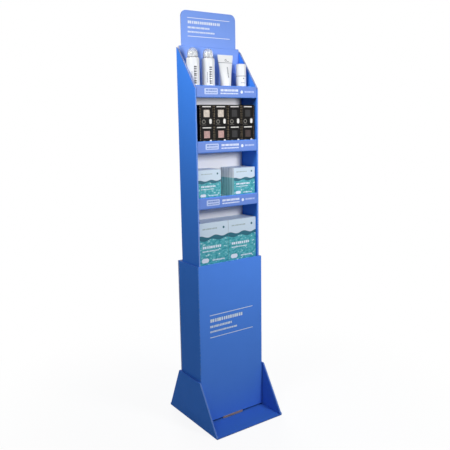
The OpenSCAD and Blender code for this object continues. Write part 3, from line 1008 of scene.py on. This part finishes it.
@dataclass
class Shelf:
    """Shelf with a white floor and a printed double lip."""

    node: str
    lip_h: float = 0.042
    lip_d: float = 0.0072
    tab_reach: float = 0.0043

    def inks(self, z: float) -> tuple[Ink, ...]:
        """Ticket, dashes and disc along the lip.

        Args:
            z: The height of the lip's middle.

        Returns:
            The inks, in the order in which they are printed.
        """
        ticket = (
            Bar((-0.07, z + 0.001), (0.056, 0.021), 0.003),
            Dashes((0.096, z + 0.001), (0.044, 0.006), 0.0056),
        )
        lines = (
            Dashes((-0.07, z + 0.005), (0.046, 0.0055), 0.0056),
            Dashes((-0.07, z - 0.004), (0.046, 0.0036), 0.0038),
        )
        middle = (
            Dashes((0.008, z + 0.005), (0.078, 0.0075), 0.0062),
            Dashes((0.008, z - 0.006), (0.078, 0.0045), 0.0044),
            Ring((0.063, z), 0.0056, 0.0056),
        )
        return (Ink(PALE_INK, ticket), Ink(BLUE_INK, lines), Ink(WHITE_INK, middle))

    def dress(self) -> None:
        """Prints the lip and the underside, leaves the floor white and shows the cut ends."""
        low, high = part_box(self.node)
        back = low.y + self.lip_d
        lip_y = (low.y + back) / 2
        lip_z = high.z - self.lip_h / 2
        half = high.x - self.tab_reach
        creases = tuple(Crease((0.0, low.y, z), (1.0, 0.0, 0.0)) for z in (high.z, low.z))

        def choose(middle: Vector, normal: Vector) -> Surface:
            """Lip's front, other printed faces, bare floor or cut end.

            Args:
                middle: The face's middle.
                normal: The face's normal.

            Returns:
                What it shows.
            """
            if middle.y < back + TOLERANCE / 4:
                if abs(normal.x) > SQUARE:
                    return Surface.CUT
                depth = min(middle.y - low.y, back - middle.y, high.z - middle.z, middle.z - low.z)
                outward = normal.y * (middle.y - lip_y) + normal.z * (middle.z - lip_z)
                if depth > TOLERANCE or outward < 0:
                    return Surface.INSIDE
                return Surface.FRONT if normal.y < -EXACT else Surface.PRINT
            if abs(normal.x) > SQUARE and abs(middle.x) > half + TOLERANCE:
                return Surface.CUT
            return Surface.PRINT if normal.z < -FACING else Surface.INSIDE

        finishes = {
            Surface.FRONT: BLUE_LIP_LIT.material(f"{self.node}_lip", self.inks(lip_z), creases),
            Surface.PRINT: BLUE_PRINT.material(self.node, creases=creases),
            Surface.INSIDE: WHITE_LINER.material(self.node),
            Surface.CUT: BLUE_EDGE.material(self.node, Across.Y, low.y + BOARD / 2),
        }
        dress(self.node, finishes, choose)


@dataclass
class BaseTray:
    """Kraft pad in the foot of the column, whose tongues carry the sleeve."""

    node: str = "base_tray"
    tongue_w: float = 0.095

    def dress(self) -> None:
        """Leaves the pad and the tongues bare, and paints the pad's own edges dark as shade."""
        first_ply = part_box(self.node)[0].z + BOARD / 2
        half = self.tongue_w / 2 + TOLERANCE

        def choose(middle: Vector, normal: Vector) -> Surface:
            """Bare, cut tongue or edge painted dark as shade."""
            if abs(normal.y) < FACING:
                return Surface.INSIDE
            return Surface.TONGUE if abs(middle.x) < half else Surface.CUT

        finishes = {
            Surface.INSIDE: KRAFT_LINER.material(self.node),
            Surface.TONGUE: KRAFT_EDGE.material(self.node, Across.Z, first_ply),
            Surface.CUT: SHADED_PAD_EDGE.material(self.node, Across.Z, first_ply),
        }
        dress(self.node, finishes, choose)


@dataclass(frozen=True)
class Gloss:
    """Smooth finish of lacquer, plastic or film: its colour, its gloss and its fine unevenness."""

    name: str
    colour: Colour
    roughness: float
    coat: float = 0.0
    coat_roughness: float = 0.12
    metallic: float = 0.0
    specular: float = 0.4
    speckle_scale: float = 900.0
    ripple_scale: float = 60.0
    ripple_depth: float = 0.0001
    tone: Span = (0.95, 1.05)
    rough_share: Span = (0.75, 1.25)

    def material(self, part: str, inks: Iterable[Ink] = (), lay: Lay | None = None) -> Material:
        """Builds the finish for one part.

        Args:
            part: The part's name.
            inks: What is printed on it.
            lay: Gives the flat place of the print from the Object coordinates.

        Returns:
            The material.
        """
        material, canvas, shader, place = new_material(f"{self.name}_{part}")
        flat = lay(canvas, place) if lay else place
        speckle = canvas.noise(place, self.speckle_scale)
        ripple = canvas.noise(place, self.ripple_scale)
        colour: Value = self.colour
        for ink in inks:
            colour = ink.over(canvas, colour, flat)
        canvas.fill(shader, {
            "Base Color": canvas.shade(colour, canvas.span(ripple, *self.tone)),
            "Roughness": canvas.span(speckle, *(self.roughness * share for share in self.rough_share)),
            "Metallic": self.metallic,
            "Specular IOR Level": self.specular,
            "Coat Weight": self.coat,
            "Coat Roughness": self.coat_roughness,
        })
        bump(canvas, shader, ripple, self.ripple_depth)
        return material


@dataclass(frozen=True)
class ClearPlastic:
    """Clear moulded plastic with a faint haze."""

    name: str
    tint: Colour
    haze_tint: Colour
    haze_scale: float = 120.0
    roughness: Span = (0.02, 0.1)
    transmission: float = 0.8
    ior: float = 1.4

    def material(self, part: str) -> Material:
        """Builds the finish for one part.

        Args:
            part: The part's name.

        Returns:
            The material.
        """
        material, canvas, shader, place = new_material(f"{self.name}_{part}")
        haze = canvas.noise(place, self.haze_scale, detail=3.0)
        canvas.fill(shader, {
            "Base Color": canvas.mix(haze, self.tint, self.haze_tint),
            "Roughness": canvas.span(haze, *self.roughness),
            "Transmission Weight": self.transmission,
            "IOR": self.ior,
        })
        return material


WHITE_LACQUER = Gloss("white_lacquer", srgb(224, 227, 231), 0.3, coat=0.15)
WHITE_MOULDED = Gloss("white_moulded", srgb(226, 228, 231), 0.4)
WHITE_TUBE = Gloss("white_tube", srgb(232, 234, 236), 0.36, ripple_scale=25.0, ripple_depth=0.0006)
STEEL = Gloss("steel", srgb(150, 152, 156), 0.3, metallic=1.0)
BLACK_FILM = Gloss(
    "black_film", srgb(16, 15, 15), 0.5, specular=0.06, ripple_scale=90.0, ripple_depth=0.0008
)
CLEAR_PLASTIC = ClearPlastic("clear_plastic", srgb(244, 247, 250), srgb(250, 251, 252))
GREY_INK = srgb(120, 124, 132)
DARK_INK = srgb(70, 74, 82)
SAGE_INK = srgb(150, 168, 152)
MIST_INK = srgb(150, 168, 172)
# Cream ink, used for the painted glints along the tape packs' film edges
GLINT_INK = srgb(196, 178, 150)
CHALK_INK = srgb(228, 226, 222)
ASH_INK = srgb(112, 110, 104)


def round_lay(centre: Vector, radius: float) -> Lay:
    """Unrolls a round body: girth from its front line, and height.

    Args:
        centre: The middle of the body's base.
        radius: The body's radius.

    Returns:
        A function from the Object coordinates to the flat place.
    """

    def lay(canvas: Canvas, place: Value) -> Value:
        """Flat place on the unrolled body."""
        x, y, z = canvas.split(canvas.vector("SUBTRACT", place, tuple(centre)))
        turn = canvas.math("ARCTAN2", x, canvas.math("MULTIPLY", y, -1.0))
        return canvas.join(canvas.math("MULTIPLY", turn, radius), z)

    return lay


def front_lay(x: float, z: float) -> Lay:
    """Lays a print on a front, measured from a place on it.

    Args:
        x: The place's x.
        z: The place's z.

    Returns:
        A function from the Object coordinates to the flat place.
    """

    def lay(canvas: Canvas, place: Value) -> Value:
        """Flat place on the front."""
        across, _, up = canvas.split(canvas.vector("SUBTRACT", place, (x, 0.0, z)))
        return canvas.join(across, up)

    return lay


def base_of(node: str) -> tuple[Vector, float]:
    """Finds the base of a standing solid.

    Args:
        node: The solid's name.

    Returns:
        The middle of its base, and half its width.
    """
    low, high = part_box(node)
    middle = (low + high) / 2
    return Vector((middle.x, middle.y, low.z)), (high.x - low.x) / 2


@dataclass
class SprayCan:
    """Spray can with its button, its valve ring and a clear cap."""

    number: int
    rim: float = 0.003
    ring_wire: float = 0.0009
    wire_sides: int = 10
    ring_sides: int = 64
    inks: tuple[Ink, ...] = (
        Ink(DARK_INK, (Dashes((-0.004, 0.044), (0.062, 0.0105), 0.0078, upright=True),)),
        Ink(GREY_INK, (Dashes((-0.017, 0.038), (0.036, 0.0025), 0.003, upright=True),)),
        Ink(SAGE_INK, (Bar((-0.004, 0.007), (0.013, 0.0022), 0.001),)),
    )

    def dress(self) -> None:
        """Finishes the body, button and cap, and adds the valve ring."""
        can, button, cap = (f"{kind}_{self.number}" for kind in ("can", "actuator", "cap"))
        middle, radius = base_of(can)
        cap_base, cap_radius = base_of(cap)

        def choose(face: Vector, _: Vector) -> Surface:
            """Lacquer, or bare steel at the base and inside the neck."""
            bare = face.z < middle.z + self.rim or face.z > cap_base.z - TOLERANCE / 4
            return Surface.STEEL if bare else Surface.PRINT

        finishes = {
            Surface.PRINT: WHITE_LACQUER.material(can, self.inks, round_lay(middle, radius)),
            Surface.STEEL: STEEL.material(can),
        }
        dress(can, finishes, choose)
        dress_plain(button, WHITE_MOULDED.material(button))
        dress_plain(cap, CLEAR_PLASTIC.material(cap))
        self.add_valve_ring(middle, cap_radius, cap_base.z)

    def add_valve_ring(self, middle: Vector, cap_radius: float, z: float) -> None:
        """Adds the rolled steel ring on the shoulder, round the foot of the cap.

        Args:
            middle: The middle of the can's base.
            cap_radius: The cap's outer radius.
            z: The height at which the cap stands.
        """
        mesh = bmesh.new()
        at_side = Matrix.Translation((middle.x + cap_radius + self.ring_wire, middle.y, z))
        wire = bmesh.ops.create_circle(
            mesh, segments=self.wire_sides, radius=self.ring_wire,
            matrix=at_side @ Matrix.Rotation(math.pi / 2, 4, "X"),
        )
        edges = list({edge for vert in wire["verts"] for edge in vert.link_edges})
        bmesh.ops.spin(
            mesh, geom=wire["verts"] + edges, cent=middle, axis=(0.0, 0.0, 1.0),
            angle=math.tau, steps=self.ring_sides, use_merge=True,
        )
        name = f"valve_ring_{self.number}"
        add_piece(to_object(name, mesh, STEEL.material(name)), "can_white")


@dataclass
class SqueezeTube:
    """Tube that stands on its cap, pressed flat to a ribbed crimp at the top."""

    crimp_h: float = 0.009
    crimp_t: float = 0.0014
    rib: float = 0.00018
    rib_count: int = 6
    body_rings: int = 14
    segments: int = 72
    inks: tuple[Ink, ...] = (
        Ink(GREY_INK, (Bar((0.0, 0.0725), (0.2, 0.0018), 0.0002),)),
        Ink(DARK_INK, (
            Ring((0.0, 0.0815), 0.0042, 0.0016),
            Bar((0.009, 0.0775), (0.009, 0.0016), 0.0008),
        )),
        Ink(GREY_INK, (Dashes((0.003, 0.038), (0.038, 0.0046), 0.004, upright=True),)),
    )

    def rings(self, radius: float, half: float, rise: float) -> list[Place]:
        """Lists the tube's rings, from above the round end to the top of the crimp.

        Args:
            radius: The radius of the round end.
            half: Half the width of the crimp.
            rise: The height of the body under the crimp.

        Returns:
            For each ring, how far it lies above the last one, its half width and its half depth.
        """
        flat = self.crimp_t / 2
        rings = []
        for number in range(1, self.body_rings + 1):
            share = number / self.body_rings
            width, depth = radius + (half - radius) * share, radius + (flat - radius) * share
            rings.append((rise / self.body_rings, width, depth))
        climb = self.crimp_h / self.rib_count / 2
        return rings + [(climb, half, flat - self.rib), (climb, half, flat)] * self.rib_count

    def build(self) -> Object:
        """Models the tube ring by ring, from the round end to the crimp.

        Returns:
            The tube.
        """
        middle, half = base_of("tube")
        _, radius = base_of("tube_cap")
        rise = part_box("tube")[1].z - middle.z - self.crimp_h
        mesh = bmesh.new()
        ring = bmesh.ops.create_circle(
            mesh, segments=self.segments, radius=radius, cap_ends=True, matrix=Matrix.Translation(middle)
        )["verts"]
        size = (radius, radius)
        for climb, half_w, half_d in self.rings(radius, half, rise):
            rim = set(ring)
            edges = [edge for edge in mesh.edges if rim.issuperset(edge.verts)]
            grown = bmesh.ops.extrude_edge_only(mesh, edges=edges)["geom"]
            ring = [item for item in grown if isinstance(item, bmesh.types.BMVert)]
            growth = (half_w / size[0], half_d / size[1], 1.0)
            bmesh.ops.translate(mesh, verts=ring, vec=(0.0, 0.0, climb))
            bmesh.ops.scale(mesh, verts=ring, vec=growth, space=Matrix.Translation(-middle))
            size = (half_w, half_d)
        bmesh.ops.holes_fill(mesh, edges=mesh.edges)
        finish = WHITE_TUBE.material("tube", self.inks, front_lay(middle.x, middle.z))
        return to_object("squeeze_tube", mesh, finish)

    def dress(self) -> None:
        """Puts the tube in place of its solid and finishes its cap."""
        add_piece(self.build(), "tube_white", "tube")
        dress_plain("tube_cap", WHITE_MOULDED.material("tube_cap"))


@dataclass
class RollOnBottle:
    """Roll-on bottle with a tall cap."""

    inks: tuple[Ink, ...] = (
        Ink(DARK_INK, (
            # The bar round the whole top edge is painted shade in the joint under the cap; the bar below
            # it is print
            Bar((0.0, 0.0474), (0.2, 0.0022), 0.0002),
            Bar((-0.002, 0.0385), (0.005, 0.004), 0.0018),
        )),
        Ink(GREY_INK, (Dashes((-0.004, 0.023), (0.018, 0.002), 0.0024),)),
    )

    def dress(self) -> None:
        """Finishes the bottle and its cap."""
        lay = round_lay(*base_of("bottle"))
        dress_plain("bottle", WHITE_MOULDED.material("bottle", self.inks, lay))
        dress_plain("bottle_cap", WHITE_MOULDED.material("bottle_cap"))


class TapeColour(Enum):
    """Colour of the tape that shows in a pack's window."""

    BEIGE = srgb(236, 224, 211)
    PINK = srgb(214, 174, 168)
    BLACK = srgb(34, 34, 36)
    BROWN = srgb(60, 44, 42)


@dataclass(frozen=True)
class WovenTape:
    """Woven tape on its roll, with the weave's cross threads."""

    colour: TapeColour
    thread_pitch: float = 0.0011
    weave_depth: float = 0.0003
    weave_tone: Span = (0.8, 1.1)
    blotch_scale: float = 140.0
    blotch_tone: Span = (0.65, 1.2)
    roughness: Span = (0.7, 0.9)

    @cache
    def material(self) -> Material:
        """Builds the finish, once for all packs with this tape.

        Returns:
            The material.
        """
        material, canvas, shader, place = new_material(f"tape_{self.colour.name.lower()}")
        x, _, z = canvas.split(place)
        threads = [
            canvas.effect(washboard(), {"Run": run, "Pitch": self.thread_pitch}).outputs["Height"]
            for run in (canvas.math("ADD", x, z), canvas.math("SUBTRACT", x, z))
        ]
        weave = canvas.math("MULTIPLY", *threads)
        blotch = canvas.span(canvas.noise(place, self.blotch_scale, detail=3.0), *self.blotch_tone)
        tone = canvas.math("MULTIPLY", canvas.span(weave, *self.weave_tone), blotch)
        canvas.fill(shader, {
            "Base Color": canvas.shade(self.colour.value, tone),
            "Roughness": canvas.span(weave, *self.roughness),
        })
        bump(canvas, shader, weave, self.weave_depth)
        return material


@dataclass
class TapePack:
    """Black film-wrapped pack with a window onto the roll of tape."""

    number: int
    tape: TapeColour
    window: float = 0.025
    window_z: float = 0.043
    # Painted glints along the film's side edges: width, inset, share of the pack's height and dash pitch
    glint_w: float = 0.0006
    glint_inset: float = 0.0019
    glint_share: float = 0.94
    glint_pitch: float = 0.009

    def inks(self, width: float, height: float) -> tuple[Ink, ...]:
        """Painted glints at the edges, and the printed strip, pill and ring, from the middle of its
        foot.

        Args:
            width: The pack's width.
            height: The pack's height.

        Returns:
            The inks.
        """
        edge = width / 2 - self.glint_inset
        size = (height * self.glint_share, self.glint_w)
        # Cream dashes up both side edges, painted as glints on the film
        painted_glints = tuple(
            Dashes((x, height / 2), size, self.glint_pitch, upright=True) for x in (-edge, edge)
        )
        return (
            Ink(GLINT_INK, painted_glints),
            Ink(CHALK_INK, (
                Bar((0.0, height - 0.0065), (0.036, 0.0034), 0.0006),
                Bar((0.0155, 0.0155), (0.0105, 0.0175), 0.005),
            )),
            Ink(ASH_INK, (
                Ring((-0.0125, 0.0145), 0.0078, 0.0034),
                Dashes((-0.0125, 0.0035), (0.02, 0.0016), 0.0022),
            )),
        )

    def dress(self) -> None:
        """Wraps the pack and shows the tape in its window."""
        node = f"tape_pack_{self.number}"
        low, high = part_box(node)
        x = (low.x + high.x) / 2
        edge = self.window / 2 + TOLERANCE / 10

        def choose(face: Vector, _: Vector) -> Surface:
            """Film, or the tape in the window."""
            sunk = low.y + TOLERANCE / 20 < face.y < low.y + 2 * TOLERANCE
            inside = abs(face.x - x) < edge and abs(face.z - low.z - self.window_z) < edge
            return Surface.WINDOW if sunk and inside else Surface.PRINT

        inks = self.inks(high.x - low.x, high.z - low.z)
        finishes = {
            Surface.PRINT: BLACK_FILM.material(node, inks, front_lay(x, low.z)),
            Surface.WINDOW: WovenTape(self.tape).material(),
        }
        dress(node, finishes, choose)


@dataclass(frozen=True)
class CartonPrint:
    """Print of a carton: white above a wavy line, a dark band and frosted teal below, its sides paler.

    The front's white is greyed as painted shade.
    The line, band and swing are shares of the carton's height, and the wave is a share of its width.
    """

    line: float
    band: float = 0.085
    swing: float = 0.022
    wave: float = 0.5
    leads: Span = (0.9, 2.4)
    streak: Place = (1.0, 0.25, 1.5)
    streak_scale: float = 85.0
    gap: float = 0.0006
    # Reach and tone of the painted shade at the edges where cartons meet
    seam: Span = (0.0026, 0.0012)
    painted_seam_tone: Span = (1.0, 0.72)
    corner: Span = (0.0004, 0.0002)
    # white is greyed to a blue-grey, painted shade on the fronts
    white: Colour = srgb(200, 218, 234)
    teal: Colour = srgb(30, 136, 150)
    pale: Colour = srgb(80, 174, 186)
    frost: Colour = srgb(208, 230, 236)
    side_white: Colour = srgb(238, 241, 246)
    side_teal: Colour = srgb(150, 210, 214)
    deep: Colour = srgb(28, 98, 118)
    mottle: float = 0.05
    roughness: Span = (0.32, 0.5)
    specular: float = 0.4
    fibre_depth: float = 0.00003

    def inks(self, width: float, height: float) -> tuple[Ink, ...]:
        """Disc, dashes and pill printed on the front, measured from the middle of its foot.

        Args:
            width: The carton's width.
            height: The carton's height.

        Returns:
            The inks.
        """

        def share(across: float, up: float) -> Span:
            """Place or size on the front, from shares of its width and height."""
            return (width * across, height * up)

        return (
            Ink(self.deep, (Ring(share(0.34, 0.86), width * 0.035, width * 0.035),)),
            Ink(MIST_INK, (Dashes(share(-0.14, 0.86), share(0.5, 0.03), width * 0.05),)),
            Ink(WHITE_INK, (
                Dashes(share(-0.08, 0.44), share(0.64, 0.055), width * 0.075),
                Dashes(share(-0.12, 0.35), share(0.56, 0.025), width * 0.04),
                Bar(share(-0.3, 0.14), share(0.24, 0.1), height * 0.05),
                Dashes(share(0.14, 0.13), share(0.42, 0.03), width * 0.04),
            )),
        )

    def frosted(self, canvas: Canvas, place: Value) -> NodeSocket:
        """Teal that is streaked paler, up to frost.

        Args:
            canvas: The tree to draw on.
            place: The Object coordinates.

        Returns:
            The colour.
        """
        stretched = canvas.vector("MULTIPLY", place, self.streak)
        streaks = canvas.noise(stretched, self.streak_scale, detail=6.0)
        teal = canvas.mix(canvas.step(streaks, low=0.3, high=0.58), self.teal, self.pale)
        return canvas.mix(canvas.step(streaks, low=0.59, high=0.7), teal, self.frost)

    def painted_seam_shade(self, canvas: Canvas, place: Value, front: float, depth: float) -> NodeSocket:
        """Painted shade: a tone that darkens the edges where two cartons of a row meet.

        Args:
            canvas: The tree to draw on.
            place: The Object coordinates.
            front: The y of the first carton's front.
            depth: The depth of one carton.

        Returns:
            The tone.
        """
        behind = canvas.math("SUBTRACT", canvas.split(place)[1], front - self.gap / 2)
        off_seam = canvas.math("PINGPONG", behind, (depth + self.gap) / 2)
        off_front = canvas.step(off_seam, self.gap * 0.6, self.gap)
        edge = canvas.math("MULTIPLY", off_front, canvas.step(off_seam, *self.seam))
        return canvas.span(edge, *self.painted_seam_tone)

    def material(self, name: str, low: Vector, high: Vector) -> Material:
        """Builds the print for one row of cartons.

        Args:
            name: The name of the row's first carton.
            low: Its lowest corner.
            high: Its highest corner.

        Returns:
            The material.
        """
        width, depth, height = high - low
        material, canvas, shader, place = new_material(name)
        flat = front_lay((low.x + high.x) / 2, low.z)(canvas, place)
        fibre = canvas.effect(paper_fibre(), {"Place": place, "Mottle": self.mottle}).outputs
        below_line, below_band = (
            Wave(height * level, height * self.swing, width * self.wave, lead).mask(canvas, flat)
            for level, lead in zip((self.line, self.line - self.band), self.leads)
        )
        lower = canvas.mix(below_band, self.deep, self.frosted(canvas, place))
        colour = canvas.mix(below_line, self.white, lower)
        for ink in self.inks(width, height):
            colour = ink.over(canvas, colour, flat)
        across = canvas.math("ABSOLUTE", canvas.split(flat)[0])
        on_side = canvas.step(across, *(width / 2 - inset for inset in self.corner))
        side = canvas.mix(below_line, self.side_white, self.side_teal)
        # Paper tone times the painted shade at the seams
        tone = canvas.math("MULTIPLY", fibre["Tone"], self.painted_seam_shade(canvas, place, low.y, depth))
        canvas.fill(shader, {
            "Base Color": canvas.shade(canvas.mix(on_side, colour, side), tone),
            "Roughness": canvas.span(fibre["Height"], *self.roughness),
            "Specular IOR Level": self.specular,
        })
        bump(canvas, shader, fibre["Height"], self.fibre_depth)
        return material


@dataclass
class CartonRow:
    """Cartons of one size behind each other, printed alike."""

    kind: str
    numbers: range
    finish: CartonPrint

    def dress(self) -> None:
        """Prints every carton of the row."""
        nodes = [f"{self.kind}_{number}" for number in self.numbers]
        material = self.finish.material(nodes[0], *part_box(nodes[0]))
        for node in nodes:
            dress_plain(node, material)


@dataclass
class Softbox:
    """Area light: where it stands, what it is turned to, its size and power, and how far it spreads."""

    name: str
    place: Place
    target: Place
    size: Span
    power: float
    spread: float

    def build(self) -> None:
        """Adds the light."""
        data = bpy.data.lights.new(self.name, "AREA")
        data.shape = "RECTANGLE"
        data.size, data.size_y = self.size
        data.energy = self.power
        data.spread = self.spread
        lamp = bpy.data.objects.new(self.name, data)
        lamp.location = self.place
        aim = Vector(self.target) - Vector(self.place)
        lamp.rotation_euler = aim.to_track_quat("-Z", "Y").to_euler()
        bpy.context.scene.collection.objects.link(lamp)


@dataclass
class Studio:
    """Pale floor, white surroundings, soft lights and the camera."""

    floor_radius: float = 14.0
    floor_segments: int = 96
    floor_drop: float = 0.0004
    floor_colour: Colour = srgb(176, 177, 180)
    floor_tone: Span = (0.985, 1.0)
    floor_roughness: float = 0.8
    floor_specular: float = 0.1
    floor_level: float = 0.35
    shadow_share: float = 0.3
    shadow_reach: Span = (1.2, 0.3)
    ambient: float = 0.2
    camera_place: Place = (-1.2184, -1.7633, 1.1368)
    yaw: float = -34.946
    pitch: float = -10.222
    roll: float = -0.906
    focal_px: float = 577.84
    frame_px: int = 450
    lights: tuple[Softbox, ...] = (
        Softbox("key", (-0.88, -0.28, 1.73), (0.0, 0.0, 1.28), (0.4, 0.4), 3.25, math.radians(110)),
        Softbox("front", (0.36, -1.02, 1.26), (0.0, 0.0, 0.85), (0.3, 0.3), 6.4, math.radians(150)),
        Softbox("rear", (0.9, 2.4, 1.8), (0.0, 0.0, 0.8), (1.2, 1.2), 18.0, math.radians(140)),
    )

    def seen(self, canvas: Canvas) -> NodeSocket:
        """Tells what the camera sees, directly or in gloss or glass.

        Args:
            canvas: The tree to draw on.

        Returns:
            1 for what it sees, and 0 for the rest.
        """
        path = canvas.add("LightPath").outputs
        glossy = canvas.math("MAXIMUM", path["Is Glossy Ray"], path["Is Transmission Ray"])
        return canvas.math("MAXIMUM", path["Is Camera Ray"], glossy)

    def build_world(self) -> None:
        """White to the eye, and a soft even light on the tower."""
        world = bpy.data.worlds.new("surroundings")
        world.use_nodes = True
        bpy.context.scene.world = world
        world.node_tree.nodes.clear()
        canvas = Canvas(world.node_tree)
        mix = canvas.add("MixShader", {"Fac": self.seen(canvas)})
        for slot, strength in ((1, self.ambient), (2, 1.0)):
            light = canvas.add("Background", {"Color": (1.0, 1.0, 1.0, 1.0), "Strength": strength})
            canvas.feed(mix.inputs[slot], light.outputs[0])
        canvas.add("OutputWorld", {"Surface": mix.outputs[0]})

    def build_floor(self) -> None:
        """Pale floor that is white to the eye and keeps a light shadow round the tower."""
        mesh = bmesh.new()
        bmesh.ops.create_circle(
            mesh, segments=self.floor_segments, radius=self.floor_radius, cap_ends=True,
            matrix=Matrix.Translation((0.0, 0.0, -self.floor_drop)),
        )
        material, canvas, shader, place = new_material("floor")
        cloud = canvas.span(canvas.noise(place, scale=3.0), *self.floor_tone)
        canvas.fill(shader, {
            "Base Color": canvas.shade(self.floor_colour, cloud),
            "Roughness": self.floor_roughness,
            "Specular IOR Level": self.floor_specular,
        })
        near = canvas.step(canvas.vector("LENGTH", place), *self.shadow_reach)
        share = canvas.math("MULTIPLY", near, self.shadow_share)
        rest = canvas.math("SUBTRACT", 1.0, share)
        unlit = canvas.math("SUBTRACT", 1.0, canvas.math("MULTIPLY", share, self.floor_level))
        white = canvas.add("Emission", {"Strength": canvas.math("DIVIDE", unlit, rest)})
        mix = canvas.add("MixShader", {"Fac": canvas.math("MULTIPLY", self.seen(canvas), rest)})
        canvas.feed(mix.inputs[1], shader.outputs[0])
        canvas.feed(mix.inputs[2], white.outputs[0])
        canvas.feed(material.node_tree.nodes["Material Output"].inputs["Surface"], mix.outputs[0])
        floor = to_object("floor", mesh, material)

    def build_camera(self) -> None:
        """Camera at the viewing angle of the tower."""
        yaw, pitch, roll = (math.radians(angle) for angle in (self.yaw, self.pitch, self.roll))
        reach = math.cos(pitch)
        forward = Vector((-math.sin(yaw) * reach, math.cos(yaw) * reach, math.sin(pitch)))
        level_right = forward.cross(Vector((0.0, 0.0, 1.0))).normalized()
        level_up = level_right.cross(forward)
        right = math.cos(roll) * level_right + math.sin(roll) * level_up
        up = -math.sin(roll) * level_right + math.cos(roll) * level_up
        data = bpy.data.cameras.new("camera")
        data.lens = self.focal_px / self.frame_px * data.sensor_width
        camera = bpy.data.objects.new("camera", data)
        turn = Matrix((right, up, -forward)).transposed().to_4x4()
        camera.matrix_world = Matrix.Translation(self.camera_place) @ turn
        bpy.context.scene.collection.objects.link(camera)
        bpy.context.scene.camera = camera

    def build(self) -> None:
        """Sets up the whole studio."""
        bpy.context.scene.view_settings.view_transform = "Standard"
        self.build_world()
        self.build_floor()
        for light in self.lights:
            light.build()
        self.build_camera()
        LOG.info("studio with %d lights", len(self.lights))


SHELF_COUNT = 4
CAN_COUNT = 2

# Tape in the window of each pack, in the order of the packs' numbers
TAPES = (
    TapeColour.PINK, TapeColour.PINK, TapeColour.BLACK, TapeColour.BROWN,
    TapeColour.BEIGE, TapeColour.BEIGE, TapeColour.BLACK, TapeColour.BLACK,
)

# For each kind of carton, how many stand behind each other in its two rows, and its print
CARTONS = (("small_carton", 5, CartonPrint(line=0.64)), ("large_carton", 3, CartonPrint(line=0.69)))


def main() -> None:
    """Sets up the studio, then dresses the tower and its stock."""
    logging.basicConfig(level=logging.INFO, format="%(message)s")
    Studio().build()
    parts = [Foot(), Sleeve(), Column(), BaseTray()]
    parts += [Shelf(f"shelf_{number}") for number in range(1, SHELF_COUNT + 1)]
    parts += [SprayCan(number) for number in range(1, CAN_COUNT + 1)]
    parts += [SqueezeTube(), RollOnBottle()]
    parts += [TapePack(number, tape) for number, tape in enumerate(TAPES, start=1)]
    for kind, deep, finish in CARTONS:
        parts += [CartonRow(kind, range(first, first + deep), finish) for first in (1, deep + 1)]
    for part in parts:
        part.dress()


if __name__ == "__main__":
    main()
